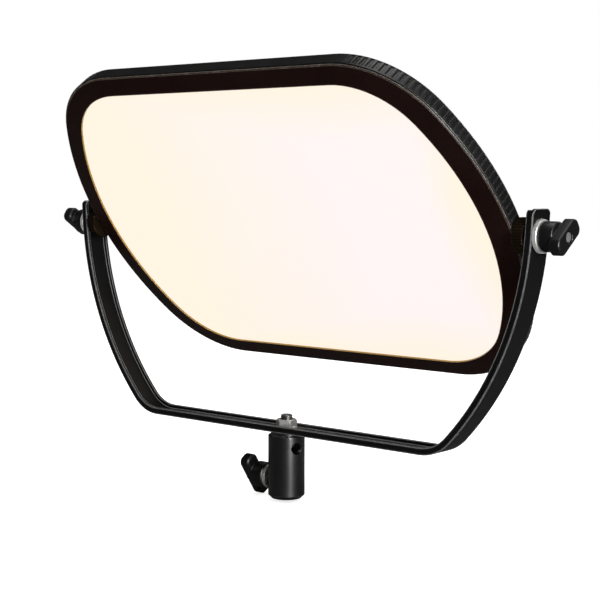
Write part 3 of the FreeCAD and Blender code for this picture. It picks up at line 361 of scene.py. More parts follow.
def litDiffuser():  # opal sheet lit from behind: warm by the rim, cooler white in the middle
    look = dict(rim=(0.985, 0.89, 0.745), middle=(0.985, 0.892, 0.885), body=(0.03, 0.027, 0.024),
                frosted=(0.036, 0.033, 0.03), warmLeft=(0.35, -0.65), warmRight=(0.78, 0.97),
                warmEnds=(0.6, 0.97), uneven=0.05)
    material, tree, shader = startMaterial("diffuser_finish", Roughness=0.35, Emission_Strength=1.0)
    low, high = uprightBox("diffuser_sheet")
    place = addNode(tree, "ShaderNodeTexCoord").outputs["Object"]
    turned = addNode(tree, "ShaderNodeMapping",
                     {"Vector": place, "Location": pivot, "Rotation": (panelLean, 0, 0)},
                     vector_type="TEXTURE").outputs[0]
    across = addNode(tree, "ShaderNodeSeparateXYZ", {0: turned})
    mottle = addNode(tree, "ShaderNodeTexNoise", {"Vector": turned, "Scale": 9.0, "Detail": 3.0})
    uneven = addRange(tree, mottle.outputs["Fac"], 0.3, 0.7, -look["uneven"], look["uneven"])
    wide = addMath(tree, "ADD", addMath(tree, "DIVIDE", across.outputs["X"], high.x), uneven)
    tall = addMath(tree, "SUBTRACT", across.outputs["Z"], (high.z + low.z) / 2)
    tall = addMath(tree, "ABSOLUTE", addMath(tree, "DIVIDE", tall, (high.z - low.z) / 2))
    tall = addMath(tree, "ADD", tall, uneven)
    glow = addMath(tree, "MAXIMUM", addRange(tree, wide, *look["warmLeft"]),
                   addRange(tree, wide, *look["warmRight"]))
    glow = addMath(tree, "MAXIMUM", glow, addRange(tree, tall, *look["warmEnds"]))
    frost = addNode(tree, "ShaderNodeTexNoise", {"Vector": turned, "Scale": 2200.0, "Detail": 2.0})
    plug(tree, shader,
         Emission_Color=addMix(tree, glow, rgba(look["middle"]), rgba(look["rim"])),
         Base_Color=addMix(tree, frost.outputs["Fac"], rgba(look["body"]), rgba(look["frosted"])),
         Normal=addBump(tree, frost.outputs["Fac"], 0.15))
    return material


def glowingBezel():  # black moulding with painted light: the diffuser's warm glow is painted onto its inner wall
    look = dict(colour=(0.0085, 0.0012, 0.0004), pale=(0.012, 0.0022, 0.0008), wall=(0.42, 0.24, 0.05),
                wornAndHighlight=(0.55, 0.48, 0.4), dusty=(0.2, 0.15, 0.12), rough=(0.34, 0.44), relief=0.25)
    material, tree, shader = startMaterial("bezel_finish", IOR=1.48, Specular_IOR_Level=0.12)
    grain = placeGroup(tree, grainGroup, Scale=2300.0, Pits=0.7)
    # painted highlight: the pale, mostly unbroken edge colour draws the bright line along the bezel's outer
    # front edge
    wearAndHighlight = placeGroup(tree, wearAndHighlightGroup, Radius=0.001, Amount=0.9, Least=0.6)
    dust = placeGroup(tree, dustGroup, Amount=0.02)
    cloud = addRange(tree, grain["Cloud"], 0.35, 0.65)
    colour = addMix(tree, cloud, rgba(look["colour"]), rgba(look["pale"]))
    colour = addMix(tree, wearAndHighlight["Mask"], colour, rgba(look["wornAndHighlight"]))
    colour = addMix(tree, dust["Mask"], colour, rgba(look["dusty"]))
    where = addNode(tree, "ShaderNodeTexCoord")
    low, high = uprightBox("diffuser_sheet")
    centre = panelPlace @ Vector((0, 0, (low.z + high.z) / 2))
    inward = addNode(tree, "ShaderNodeVectorMath", {0: tuple(centre), 1: where.outputs["Object"]},
                     operation="SUBTRACT").outputs[0]
    inward = addNode(tree, "ShaderNodeVectorMath", {0: inward}, operation="NORMALIZE").outputs[0]
    paintedGlowMask = addNode(tree, "ShaderNodeVectorMath", {0: inward, 1: where.outputs["Normal"]},
                     operation="DOT_PRODUCT").outputs["Value"]
    # painted light: the gold wall colour goes where the surface faces the panel's middle, in place of the
    # diffuser's glow on the inner wall
    colour = addMix(tree, addRange(tree, paintedGlowMask, 0.3, 0.6), colour, rgba(look["wall"]))
    rough = addRange(tree, grain["Cloud"], 0.3, 0.7, *look["rough"])
    rough = addMath(tree, "ADD", rough, addMath(tree, "MULTIPLY", dust["Mask"], 0.3), True)
    plug(tree, shader, Base_Color=colour, Roughness=rough,
         Normal=addBump(tree, grain["Height"], look["relief"], wearAndHighlight["Normal"]))
    return material


def solderMask(name, board, copper, part):  # lacquered board: tracks, and pads with the odd chip
    material, tree, shader = startMaterial(name, Roughness=0.28)
    place = addNode(tree, "ShaderNodeTexCoord").outputs["Object"]
    tracks = addNode(tree, "ShaderNodeTexBrick", {"Vector": place, "Scale": 160.0, "Mortar Size": 0.09,
                                                  "Color1": rgba(board), "Color2": rgba(board),
                                                  "Mortar": rgba(copper)})
    pads = addNode(tree, "ShaderNodeTexVoronoi", {"Vector": place, "Scale": 260.0, "Randomness": 0.4})
    pad = addMath(tree, "LESS_THAN", pads.outputs["Distance"], 0.17)
    plug(tree, shader, Base_Color=addMix(tree, pad, tracks.outputs["Color"], rgba(part)),
         Metallic=addMath(tree, "MULTIPLY", pad, 0.9),
         Normal=addBump(tree, pads.outputs["Distance"], 0.2))
    return material


def paleSheet(name, colour, other, scale, roughness):  # film, phosphor, print and other small plain things
    material, tree, shader = startMaterial(name)
    place = addNode(tree, "ShaderNodeTexCoord").outputs["Object"]
    clouds = addNode(tree, "ShaderNodeTexNoise", {"Vector": place, "Scale": scale, "Detail": 5.0})
    cloud = clouds.outputs["Fac"]
    plug(tree, shader, Base_Color=addMix(tree, cloud, rgba(colour), rgba(other)),
         Roughness=addRange(tree, cloud, 0.3, 0.7, roughness - 0.06, roughness + 0.06),
         Normal=addBump(tree, cloud, 0.1))
    return material


def clearWindow(name, tint, transmission, haze):  # display glass and light guide, with faint wiping smears
    material, tree, shader = startMaterial(name, IOR=1.49, Transmission_Weight=transmission)
    place = addNode(tree, "ShaderNodeTexCoord").outputs["Object"]
    smears = addNode(tree, "ShaderNodeTexNoise", {"Vector": place, "Scale": 45.0, "Detail": 6.0,
                                                  "Roughness": 0.65})
    smear = smears.outputs["Fac"]
    plug(tree, shader, Roughness=addRange(tree, smear, 0.4, 0.75, haze / 4, haze),
         Base_Color=addMix(tree, smear, rgba(tint), rgba([c * 0.9 for c in tint])))
    return material


def crystalFace():  # liquid crystal cell with a faint grid of dots, lit green
    look = dict(cell=(0.03, 0.16, 0.07), other=(0.035, 0.17, 0.075), gap=(0.015, 0.09, 0.04))
    material, tree, shader = startMaterial("display_finish", Roughness=0.25, Emission_Strength=0.55)
    place = addNode(tree, "ShaderNodeTexCoord").outputs["Object"]
    grid = addNode(tree, "ShaderNodeTexBrick", {"Vector": place, "Scale": 900.0, "Mortar Size": 0.06,
                                                "Color1": rgba(look["cell"]), "Color2": rgba(look["other"]),
                                                "Mortar": rgba(look["gap"])})
    plug(tree, shader, Base_Color=grid.outputs["Color"], Emission_Color=grid.outputs["Color"])
    return material


finishes["diffuser"] = litDiffuser()
finishes["bezel_plastic"] = glowingBezel()
finishes["circuit_board"] = solderMask("board_finish", board=(0.01, 0.09, 0.035), copper=(0.02, 0.16, 0.06),
                                       part=(0.6, 0.56, 0.42))
finishes["led_board"] = solderMask("strip_finish", board=(0.78, 0.78, 0.75), copper=(0.7, 0.7, 0.66),
                                   part=(0.7, 0.66, 0.5))
finishes["led_phosphor"] = paleSheet("phosphor_finish", (0.82, 0.62, 0.12), (0.9, 0.74, 0.22), 900.0, 0.5)
finishes["white_film"] = paleSheet("film_finish", grey(0.86), (0.9, 0.9, 0.89), 60.0, 0.5)
finishes["clear_acrylic"] = clearWindow("guide_finish", (0.92, 0.95, 0.95), 0.9, 0.16)
finishes["display_glass"] = clearWindow("glass_finish", (0.9, 0.95, 0.94), 1.0, 0.03)
finishes["display_face"] = crystalFace()
finishes["white_print"] = paleSheet("print_finish", (0.7, 0.7, 0.69), (0.78, 0.78, 0.77), 1200.0, 0.5)
finishes["figures"] = paleSheet("figures_finish", (0.006, 0.012, 0.008), (0.009, 0.016, 0.011), 800.0, 0.5)

slotOf = {part["node"]: part["material_slot"] for part in frame["record"]["subparts"]}
for name, item in cad.items():
    for place in item.material_slots:
        place.material = finishes[slotOf[name]]
for name in ("pivot_washer_left", "pivot_washer_right"):
    cad[name].material_slots[0].material = finishes["dull_zinc"]
print("materials:", len(finishes), "finishes on", len(slotOf), "nodes")


def asMesh(name, build):  # a mesh filled by a function working on a bmesh
    work = bmesh.new()
    build(work)
    bmesh.ops.remove_doubles(work, verts=work.verts, dist=1e-7)
    bmesh.ops.recalc_face_normals(work, faces=work.faces)
    mesh = bpy.data.meshes.new(name)
    work.to_mesh(mesh)
    work.free()
    mesh.shade_smooth()
    mesh.set_sharp_from_angle(angle=math.radians(32))
    return mesh


def asObject(name, mesh):
    item = bpy.data.objects.new(name, mesh)
    bpy.context.scene.collection.objects.link(item)
    return item


def keepPiece(name, mesh, node, finish=None):  # puts a finished mesh in place of a CAD node, on the node's rig body, with the node hidden
    piece = asObject(name, mesh)
    mesh.materials.clear()
    mesh.materials.append(finishes[finish or slotOf[node]])
    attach(piece, cad[node]["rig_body"])
    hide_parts(node)


def turnedRings(work, profile, place, sides=72):  # lathe: (radius, height) pairs about the place's Z
    rings = []
    for radius, height in profile:
        turns = [2 * math.pi * i / sides for i in range(sides)] if radius > 0 else [0.0]
        rings.append([work.verts.new(place @ Vector((radius * math.cos(a), radius * math.sin(a), height)))
                      for a in turns])
    for low, high in zip(rings, rings[1:]):
        for i in range(sides):
            j = i + 1
            corners = [low[i % len(low)], low[j % len(low)], high[j % len(high)], high[i % len(high)]]
            corners = list(dict.fromkeys(corners))
            if len(corners) > 2:
                work.faces.new(corners)
    return rings


def hullOf(points):  # outline of a flat set of points, counter-clockwise
    points = sorted(set(points))

    def half(run):
        kept = []
        for p in run:
            while len(kept) > 1 and ((kept[-1][0] - kept[-2][0]) * (p[1] - kept[-2][1])
                                     - (kept[-1][1] - kept[-2][1]) * (p[0] - kept[-2][0])) <= 1e-12:
                kept.pop()
            kept.append(p)
        return kept[:-1]
    return half(points) + half(points[::-1])


def buildCopiesGroup():  # one shape on every point of another mesh, turned by the point's "turn"
    tree = bpy.data.node_groups.new("Copies on points", "GeometryNodeTree")
    for label, kind in (("Body", "NodeSocketGeometry"), ("Places", "NodeSocketObject"),
                        ("Copy", "NodeSocketObject"), ("Size", "NodeSocketFloat"),
                        ("Uneven", "NodeSocketFloat"), ("Seed", "NodeSocketInt"),
                        ("Finish", "NodeSocketMaterial")):
        tree.interface.new_socket(name=label, in_out="INPUT", socket_type=kind)
    tree.interface.new_socket(name="Body", in_out="OUTPUT", socket_type="NodeSocketGeometry")
    given = tree.nodes.new("NodeGroupInput").outputs
    places = addNode(tree, "GeometryNodeObjectInfo", {"Object": given["Places"]}).outputs["Geometry"]
    copy = addNode(tree, "GeometryNodeObjectInfo", {"Object": given["Copy"]}).outputs["Geometry"]
    turn = addNode(tree, "GeometryNodeInputNamedAttribute", {"Name": "turn"}, data_type="FLOAT_VECTOR")
    low = addMath(tree, "SUBTRACT", given["Size"], given["Uneven"])
    high = addMath(tree, "ADD", given["Size"], given["Uneven"])
    size = addNode(tree, "FunctionNodeRandomValue", {2: low, 3: high, "Seed": given["Seed"]},
                   data_type="FLOAT")
    rotation = addNode(tree, "FunctionNodeEulerToRotation", {0: turn.outputs[0]}).outputs[0]
    copies = addNode(tree, "GeometryNodeInstanceOnPoints",
                     {"Points": places, "Instance": copy, "Rotation": rotation, "Scale": size.outputs[1]})
    loose = addNode(tree, "GeometryNodeRealizeInstances", {0: copies.outputs[0]}).outputs[0]
    joined = tree.nodes.new("GeometryNodeJoinGeometry")
    tree.links.new(loose, joined.inputs[0])
    tree.links.new(given["Body"], joined.inputs[0])
    dressed = addNode(tree, "GeometryNodeSetMaterial",
                      {"Geometry": joined.outputs[0], "Material": given["Finish"]})
    tree.links.new(dressed.outputs[0], tree.nodes.new("NodeGroupOutput").inputs["Body"])
    return tree


copiesGroup = buildCopiesGroup()


def withCopies(name, body, copy, places, node, size=1.0, uneven=0.0, seed=1):  # in place of a CAD node
    helper = asObject(name + "_work", body)
    spots = bpy.data.meshes.new(name + "_spots")
    spots.from_pydata([place.to_translation() for place in places], [], [])
    turn = spots.attributes.new("turn", "FLOAT_VECTOR", "POINT")
    for index, place in enumerate(places):
        turn.data[index].vector = place.to_euler()
    spotItem, copyItem = asObject(name + "_spots", spots), asObject(name + "_copy", copy)
    modifier = helper.modifiers.new("copies", "NODES")
    modifier.node_group = copiesGroup
    values = dict(Places=spotItem, Copy=copyItem, Size=size, Uneven=uneven, Seed=seed,
                  Finish=finishes[slotOf[node]])
    for socket in copiesGroup.interface.items_tree:
        if socket.in_out == "INPUT" and socket.name in values:
            modifier[socket.identifier] = values[socket.name]
    graph = bpy.context.evaluated_depsgraph_get()
    graph.update()
    mesh = bpy.data.meshes.new_from_object(helper.evaluated_get(graph), depsgraph=graph)
    mesh.name = name
    helper.modifiers.clear()
    for item in (helper, spotItem, copyItem):
        bpy.data.objects.remove(item)
    keepPiece(name, mesh, node)


def buildSideFrame():
    look = dict(step=0.0012, chamfer=0.0005, wall=0.004, pitch=0.005, ribWidth=0.0029, ribRise=0.0011,
                ribRound=0.0005, rooted=0.0004, plainHalf=0.009, straight=0.985, frontLip=0.0016,
                lipSlope=0.0002, ahead=0.002)
    low, high = uprightBox("side_frame")
    points = [(round(v.x, 7), round(v.z, 7)) for v in uprightPoints("side_frame")]
    outline = [Vector(p) for p in hullOf(points)]
    top = max(range(len(outline)), key=lambda i: outline[i].y - 0.001 * abs(outline[i].x))
    loop = outline[top:] + outline[:top]
    lengths = [(b - a).length for a, b in zip(loop, loop[1:] + loop[:1])]
    total = sum(lengths)

    def at(distance):  # point on the outline
        distance %= total
        for start, end, length in zip(loop, loop[1:] + loop[:1], lengths):
            if distance <= length:
                return start.lerp(end, distance / length)
            distance -= length
        return loop[0]  # rounding left it a hair past the end

    def frameAt(distance):  # that point, the way the outline runs there, and the way out
        along = (at(distance + look["ahead"]) - at(distance - look["ahead"])).normalized()
        return at(distance), along, Vector((along.y, -along.x))

    def ribbed(distance):
        here, along, _ = frameAt(distance)
        return abs(along.x) < look["straight"] and abs(here.y) > look["plainHalf"]

    count = int(total / look["step"])
    marks = [ribbed(total * i / count) for i in range(count)]
    spots = []
    for first in [i for i in range(count) if marks[i] and not marks[i - 1]]:
        last = first
        while marks[(last + 1) % count]:
            last += 1
        begin, end = total * first / count, total * last / count
        number = int((end - begin) / look["pitch"])
        offset = (end - begin - (number - 1) * look["pitch"]) / 2
        spots += [begin + offset + look["pitch"] * i for i in range(number)]
    places = []
    for distance in spots:
        here, along, out = frameAt(distance)
        axes = Matrix(((-along.x, 0, out.x), (0, 1, 0), (-along.y, 0, out.y))).to_4x4()
        places.append(panelPlace @ Matrix.Translation(Vector((here.x, 0, here.y))) @ axes)

    def band(work):
        c, wall = look["chamfer"], look["wall"]
        lip = low.y + look["frontLip"]
        section = [(-wall, low.y, 0), (-c, low.y, 0), (0, low.y + c, 0), (0, lip, 0),
                   (0, lip + look["lipSlope"], 1), (0, high.y - c, 1), (-c, high.y, 1), (-wall, high.y, 0)]
        rings = []
        for i in range(count):
            here, _, out = frameAt(total * i / count)
            sunk = look["ribRise"] if marks[i] else 0.0
            ring = []
            for reach, y, lowered in section:
                spot = here + out * (reach - sunk * lowered)
                ring.append(work.verts.new(panelPlace @ Vector((spot.x, y, spot.y))))
            rings.append(ring)
        for a, b in zip(rings, rings[1:] + rings[:1]):
            for j in range(len(section)):
                k = (j + 1) % len(section)
                work.faces.new((a[j], a[k], b[k], b[j]))

    def rib(work):
        made = bmesh.ops.create_cube(work, size=1.0)["verts"]
        front, rear = low.y + look["frontLip"] - look["rooted"], high.y - look["lipSlope"]
        for v in made:
            v.co = Vector((v.co.x * look["ribWidth"], (front + rear) / 2 + v.co.y * (rear - front),
                           (v.co.z - 0.5) * (look["ribRise"] + look["rooted"])))
        upper = [e for e in work.edges if all(v.co.z > -1e-6 for v in e.verts)]
        bmesh.ops.bevel(work, geom=upper, offset=look["ribRound"], segments=3, profile=0.5, affect="EDGES")

    withCopies("ribbed_side", asMesh("side_band", band), asMesh("side_rib", rib), places, "side_frame")
    return len(places)


def buildCoverScrews():
    look = dict(head=0.003, crown=0.0008, rise=0.0018, shank=0.0015, arm=0.0017, slot=0.00036, deep=0.0011,
                tip=0.0004, apart=0.008, firstTurn=0.35, nextTurn=0.9)
    low, high = uprightBox("rear_cover_screws")
    screws = []
    for point in uprightPoints("rear_cover_screws"):
        near = [s for s in screws if math.hypot(s[0].x - point.x, s[0].z - point.z) < look["apart"]]
        if near:
            near[0].append(point)
        else:
            screws.append([point])
    places = []
    for index, points in enumerate(screws):
        x = (min(p.x for p in points) + max(p.x for p in points)) / 2
        z = (min(p.z for p in points) + max(p.z for p in points)) / 2
        turn = look["firstTurn"] + index * look["nextTurn"]
        places.append(panelPlace @ Matrix.Translation(Vector((x, high.y, z)))
                      @ Matrix.Rotation(-math.pi / 2, 4, "X") @ Matrix.Rotation(turn, 4, "Z"))

    def screw(work):
        end = low.y - high.y
        rings = turnedRings(work, [(0.0022, 0.0), (0.0027, -0.0003), (look["head"], -look["crown"]),
                                   (look["head"], -look["rise"]), (look["shank"], -look["rise"]),
                                   (look["shank"], end + look["tip"]), (look["shank"] - look["tip"], end),
                                   (0.0, end)], Matrix(), 40)
        s, arm = look["slot"], look["arm"]
        cross = [(arm, -s), (arm, s), (s, s), (s, arm), (-s, arm), (-s, s),
                 (-arm, s), (-arm, -s), (-s, -s), (-s, -arm), (s, -arm), (s, -s)]
        upper = [work.verts.new((x, y, 0)) for x, y in cross]
        lower = [work.verts.new((x * 0.62, y * 0.8, -look["deep"])) for x, y in cross]
        edges = [work.edges.new((a, b)) for a, b in zip(upper, upper[1:] + upper[:1])]
        rim = [e for e in work.edges if all(v in rings[0] for v in e.verts)]
        bmesh.ops.triangle_fill(work, edges=edges + rim, use_beauty=True)
        for i in range(len(cross)):
            j = (i + 1) % len(cross)
            work.faces.new((upper[i], upper[j], lower[j], lower[i]))
        work.faces.new(lower)

    withCopies("cross_head_screws", bpy.data.meshes.new("no_body"), asMesh("screw", screw), places,
               "rear_cover_screws")


def buildDial(node):
    look = dict(ridges=36, ridge=0.00062, proud=0.8, foot=0.0006, crown=0.0016, rim=0.0026, dish=0.0008)
    low, high = uprightBox(node)
    radius, height = (high.x - low.x) / 2, high.y - low.y
    middle = Vector(((low.x + high.x) / 2, low.y, (low.z + high.z) / 2))
    place = panelPlace @ Matrix.Translation(middle) @ Matrix.Rotation(-math.pi / 2, 4, "X")
    barrel = radius - look["ridge"] * look["proud"]

    def body(work):
        crown, rim, dish = look["crown"], look["rim"], look["dish"]
        rounding = [(barrel - crown * inward, height - crown * down)
                    for inward, down in ((0.0, 1.0), (0.25, 0.5), (0.6875, 0.125), (1.0, 0.0))]
        hollow = [(barrel - rim, height), (barrel - rim - dish, height - dish), (0.0, height - dish)]
        turnedRings(work, [(0.0, 0.0), (barrel, 0.0)] + rounding + hollow, place)

    def ridge(work):
        thick, foot, top = look["ridge"], look["foot"], height - look["crown"]
        turnedRings(work, [(0.0, foot), (thick, foot), (thick, top - foot), (thick * 0.7, top - foot / 6),
                           (0.0, top + foot / 6)], Matrix(), 10)
    places = []
    for i in range(look["ridges"]):
        angle = 2 * math.pi * i / look["ridges"]
        offset = radius - look["ridge"]
        places.append(place @ Matrix.Translation((offset * math.cos(angle), offset * math.sin(angle), 0)))
    withCopies(node + "_fluted", asMesh("dial_body", body), asMesh("dial_ridge", ridge), places, node)


def buildBolt():
    look = dict(shank=0.00476, head=0.005, edge=0.0006, tip=0.0012, pitch=0.00159, deep=0.00075,
                threaded=0.0125, sides=48, perTurn=8)
    low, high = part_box("socket_bolt")
    shank, sides = look["shank"], look["sides"]
    headRadius = (high.x - low.x) / 2
    headTop, threadStart = low.z + look["head"], high.z - look["threaded"]
    rows = int(look["threaded"] / look["pitch"] * look["perTurn"])

    def build(work):
        turnedRings(work, [(0.0, low.z), (headRadius - look["edge"], low.z),
                           (headRadius, low.z + look["edge"]), (headRadius, headTop), (shank, headTop),
                           (shank, threadStart), (0.0, threadStart)], Matrix())
        grid = []
        for row in range(rows + 1):
            z = threadStart + look["threaded"] * row / rows
            nearTip = max(0.0, 1 - (high.z - z) / look["tip"])
            limit = shank - look["tip"] * nearTip ** 2
            line = []
            for i in range(sides):
                turn = i / sides
                wave = abs(((z / look["pitch"] - turn) % 1.0) * 2 - 1)
                radius = min(limit, shank - look["deep"] * wave)
                angle = 2 * math.pi * turn
                line.append(work.verts.new((radius * math.cos(angle), radius * math.sin(angle), z)))
            grid.append(line)
        for a, b in zip(grid, grid[1:]):
            for i in range(sides):
                j = (i + 1) % sides
                work.faces.new((a[i], a[j], b[j], b[i]))
        work.faces.new(grid[0][::-1])
        peak = work.verts.new((0, 0, high.z))
        for i in range(sides):
            work.faces.new((grid[-1][i], grid[-1][(i + 1) % sides], peak))
    keepPiece("threaded_bolt", asMesh("threaded_bolt", build), "socket_bolt", "blackened_steel")


def buildWingKnob(node, stud, outward, lean, length):  # barrel with a straight bar across its end
    look = dict(barrel=0.0102, foot=0.0008, soft=0.0004, shoulder=0.0009, ease=0.0006, width=0.0124,
                corner=0.0048, edge=0.0011, thickness=0.0082, rim=0.0008, lip=0.0003, sunk=0.002, around=10)
    low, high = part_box(node)
    studLow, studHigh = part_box(stud)
    reach = high.x - low.x
    tip = studHigh.x if outward > 0 else studLow.x
    capRadius = max(abs(v.co.y) for v in cad[stud].data.vertices if abs(v.co.x - tip) < 0.0003)
    start = low.x if outward > 0 else high.x
    place = Matrix.Translation(Vector((start, 0, (studLow.z + studHigh.z) / 2)))
    if outward < 0:
        place = place @ Matrix.Rotation(math.pi, 4, "Z")
    across = place @ Matrix.Rotation(math.pi / 2, 4, "Y")
    bar = place @ Matrix.Rotation(math.radians(lean), 4, "X")

    def outline(inset):
        halfLong, halfWide = length / 2 - inset, look["width"] / 2 - inset
        radius = look["corner"] - inset
        points = []
        for quarter, (a, b) in enumerate(((1, 1), (-1, 1), (-1, -1), (1, -1))):
            for i in range(look["around"] + 1):
                angle = math.pi / 2 * (quarter + i / look["around"])
                points.append((a * (halfWide - radius) + radius * math.cos(angle),
                               b * (halfLong - radius) + radius * math.sin(angle)))
        return points

    def build(work):
        barrel, foot, soft, edge = look["barrel"], look["foot"], look["soft"], look["edge"]
        top = reach - look["thickness"]
        shoulder = top + look["shoulder"]
        crown = barrel - look["shoulder"] - look["ease"]
        turnedRings(work, [(0.0, 0.0), (barrel - foot, 0.0), (barrel, foot), (barrel, top - soft),
                           (barrel - soft, top + soft), (crown, shoulder), (0.0, shoulder)], across)
        steps = [(edge, top), (0.0, top + edge)]
        steps += [(edge * (1 - math.cos(a)), reach - edge * (1 - math.sin(a)))
                  for a in (math.pi / 2 * i / 4 for i in range(5))]
        rings = [[work.verts.new(bar @ Vector((x, y, z))) for y, z in outline(inset)] for inset, x in steps]
        for a, b in zip(rings, rings[1:]):
            for i in range(len(a)):
                j = (i + 1) % len(a)
                work.faces.new((a[i], a[j], b[j], b[i]))
        work.faces.new(rings[0])
        recess, floor = capRadius + look["rim"], reach - look["sunk"]
        hole = turnedRings(work, [(recess + look["lip"], reach), (recess, reach - look["lip"]),
                                  (recess, floor), (0.0, floor)], across, 48)
        edges = [e for e in work.edges
                 if all(v in rings[-1] for v in e.verts) or all(v in hole[0] for v in e.verts)]
        bmesh.ops.triangle_fill(work, edges=edges, use_beauty=True)
    keepPiece(node + "_moulded", asMesh(node + "_moulded", build), node)


def buildDisplayDigits():  # plain seven-bar figures on the display's face: colour and brightness
    look = dict(rows=("5600", "100"), height=0.0106, width=0.0066, bar=0.0017, gap=0.00015, pitch=0.0098,
                rowPitch=0.0131, rise=0.0013, clear=0.00001, thick=0.00004)
    barsOf = {"0": "abcdef", "1": "bc", "5": "afgcd", "6": "afgedc"}
    h, w = look["height"], look["width"]
    spans = {"a": ((0, h), (w, h)), "b": ((w, h), (w, h / 2)), "c": ((w, h / 2), (w, 0)),
             "d": ((0, 0), (w, 0)), "e": ((0, h / 2), (0, 0)), "f": ((0, h), (0, h / 2)),
             "g": ((0, h / 2), (w, h / 2))}
    pane = uprightBox("display_window")
    middle = (pane[0] + pane[1]) / 2
    face = uprightBox("display_module")[1].y + look["clear"]

    def bar(work, start, end, left, foot):
        along = (end - start).normalized()
        side = Vector((-along.y, along.x)) * look["bar"] / 2
        point = along * look["bar"] / 2
        a, b = start + along * look["gap"], end - along * look["gap"]
        shape = [a, a + point + side, b - point + side, b, b - point - side, a + point - side]
        layers = [[work.verts.new(panelPlace @ Vector((middle.x - left - v.x, y, foot + v.y)))
                   for v in shape] for y in (face, face + look["thick"])]
        work.faces.new(layers[0])
        work.faces.new(layers[1][::-1])
        for i in range(len(shape)):
            j = (i + 1) % len(shape)
            work.faces.new((layers[0][i], layers[0][j], layers[1][j], layers[1][i]))

    def build(work):
        for row, text in enumerate(look["rows"]):
            foot = middle.z + look["rise"] - row * look["rowPitch"]
            for index, figure in enumerate(text):
                left = look["pitch"] * index - look["pitch"] * len(text) / 2
                for key in barsOf[figure]:
                    bar(work, Vector(spans[key][0]), Vector(spans[key][1]), left, foot)
    mesh = asMesh("display_figures", build)
    mesh.materials.append(finishes["figures"])
    piece = asObject("display_figures", mesh)
    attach(piece, "panel")


def buildRockerMarks():  # a bar for on and a ring for off, printed on the rocker's two halves
    look = dict(reach=0.0038, tall=0.0032, stroke=0.0007, ring=0.0016, proud=0.00006, fromOutside=0.01)
    rocker = cad["power_rocker"]
    low, high = uprightBox("power_rocker")
    upward = panelPlace.to_3x3() @ Vector((0, 0, 1))

    def build(work):
        proud, thin = look["proud"], look["stroke"]
        for sign in (1, -1):
            start = panelPlace @ Vector((high.x + look["fromOutside"], (low.y + high.y) / 2,
                                         (low.z + high.z) / 2 + sign * look["reach"]))
            spot, normal = rocker.ray_cast(start, Vector((-1, 0, 0)))[1:3]
            side = upward.cross(normal).normalized()
            top = normal.cross(side)
            place = Matrix.Translation(spot) @ Matrix((side, top, normal)).transposed().to_4x4()
            if sign > 0:
                size = Matrix.Diagonal((thin, look["tall"], proud * 2, 1))
                bmesh.ops.create_cube(work, size=1.0, matrix=place @ size)
            else:
                outer, inner = look["ring"], look["ring"] - thin
                turnedRings(work, [(inner, -proud), (outer, -proud), (outer, proud), (inner, proud),
                                   (inner, -proud)], place, 32)
    mesh = asMesh("rocker_marks", build)
    mesh.materials.append(finishes["white_print"])
    piece = asObject("rocker_marks", mesh)
    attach(piece, cad["power_rocker"]["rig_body"])


# lean is the wing's turn about its stud in degrees, length is from tip to tip
knobs = {
    "tilt_knob_right": dict(stud="tilt_stud_right", outward=1, lean=-54, length=0.0295),
    "tilt_knob_left": dict(stud="tilt_stud_left", outward=-1, lean=-55, length=0.0295),
    "clamp_knob": dict(stud="clamp_screw", outward=-1, lean=-34, length=0.0355),
}
print("made: side frame with", buildSideFrame(), "ribs")
buildCoverScrews()
for dial in ("brightness_dial", "colour_dial"):
    buildDial(dial)
buildBolt()
for knob, look in knobs.items():
    buildWingKnob(knob, **look)
buildDisplayDigits()
buildRockerMarks()
print("made: cover screws, dials, bolt,", len(knobs), "knobs, display figures, rocker marks")


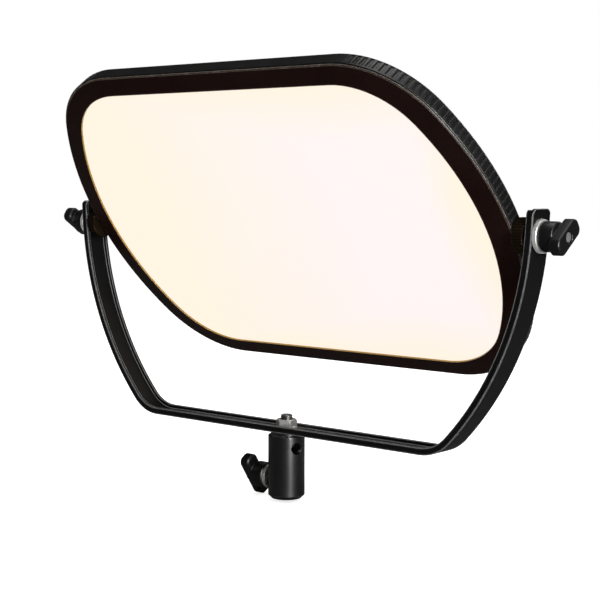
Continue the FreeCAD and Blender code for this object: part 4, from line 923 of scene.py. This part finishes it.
def buildStage():
    look = dict(size=9.0, below=0.0005, floor=grey(0.8), mirrored=grey(0.09), lift=0.74,
                fill=0.4, flagged=0.07)
    mesh = bpy.data.meshes.new("studio_floor")
    half, level = look["size"] / 2, cadBox[0][2] - look["below"]
    mesh.from_pydata([(-half, -half, level), (half, -half, level), (half, half, level),
                      (-half, half, level)], [], [(0, 1, 2, 3)])
    floor = bpy.data.objects.new("studio_floor", mesh)
    bpy.context.scene.collection.objects.link(floor)
    material, tree, shader = startMaterial("floor_paper", Roughness=0.9, Emission_Color=(1, 1, 1, 1))
    ray = addNode(tree, "ShaderNodeLightPath")
    seen = addMath(tree, "MAXIMUM", ray.outputs["Is Camera Ray"], ray.outputs["Is Transmission Ray"])
    plug(tree, shader, Emission_Strength=addMath(tree, "MULTIPLY", seen, look["lift"]),
         Base_Color=addMix(tree, ray.outputs["Is Glossy Ray"], rgba(look["floor"]), rgba(look["mirrored"])))
    mesh.materials.append(material)

    world = bpy.data.worlds.new("studio")
    bpy.context.scene.world = world
    world.use_nodes = True
    tree = world.node_tree
    back = tree.nodes["Background"]
    back.inputs["Color"].default_value = (1, 1, 1, 1)
    ray = addNode(tree, "ShaderNodeLightPath")
    seen = addMath(tree, "MAXIMUM", ray.outputs["Is Camera Ray"], ray.outputs["Is Transmission Ray"])
    lit = addRange(tree, ray.outputs["Is Glossy Ray"], 0.0, 1.0, look["fill"], look["flagged"])
    tree.links.new(addMath(tree, "MAXIMUM", lit, seen), back.inputs["Strength"])


# a lamp without lights only shows in glossy skins, one without shines only lights them
lamps = {
    "side strip": dict(place=(1.7, -0.35, 0.75), size=(0.35, 1.5), power=13.0),
    "low strip": dict(place=(1.06, -0.46, 0.34), size=(0.16, 0.66), power=66.0, aim=(0, 0, 0.1),
                      lights=False),
    "overhead": dict(place=(0.2, 0.1, 1.9), size=(1.5, 0.8), power=20.0),
    "fill": dict(place=(-1.5, -1.2, 0.9), size=(1.2, 1.2), power=9.0, shines=False),
    "rim": dict(place=(0.3, 1.6, 1.3), size=(1.4, 0.6), power=8.0),
}


def softBox(name, place, size, power, aim=pivot, shines=True, lights=True):
    lamp = bpy.data.lights.new(name, "AREA")
    lamp.shape = "RECTANGLE"
    lamp.size, lamp.size_y = size
    lamp.energy = power
    item = bpy.data.objects.new(name, lamp)
    bpy.context.scene.collection.objects.link(item)
    item.location = place
    item.visible_diffuse, item.visible_glossy = lights, shines
    item.rotation_euler = (Vector(aim) - Vector(place)).to_track_quat("-Z", "Y").to_euler()


def buildCamera():
    view = dict(offset=(0.6985, -0.8105, 0.0381), swing=40.22, down=4.94, roll=0.16, lens=85.1, sensor=36.0)
    camera = bpy.data.objects.new("camera", bpy.data.cameras.new("camera"))
    bpy.context.scene.collection.objects.link(camera)
    camera.data.lens = view["lens"]
    camera.data.sensor_width = view["sensor"]
    camera.data.clip_start = 0.01
    turn = (Matrix.Rotation(math.radians(view["swing"]), 4, "Z")
            @ Matrix.Rotation(math.radians(90 - view["down"]), 4, "X")
            @ Matrix.Rotation(math.radians(view["roll"]), 4, "Z"))
    camera.matrix_world = Matrix.Translation(pivot + Vector(view["offset"])) @ turn
    bpy.context.scene.camera = camera


buildStage()
for name, lamp in lamps.items():
    softBox(name, **lamp)
buildCamera()
bpy.context.scene.view_settings.view_transform = "Standard"
print("stage: floor, lamps, camera")
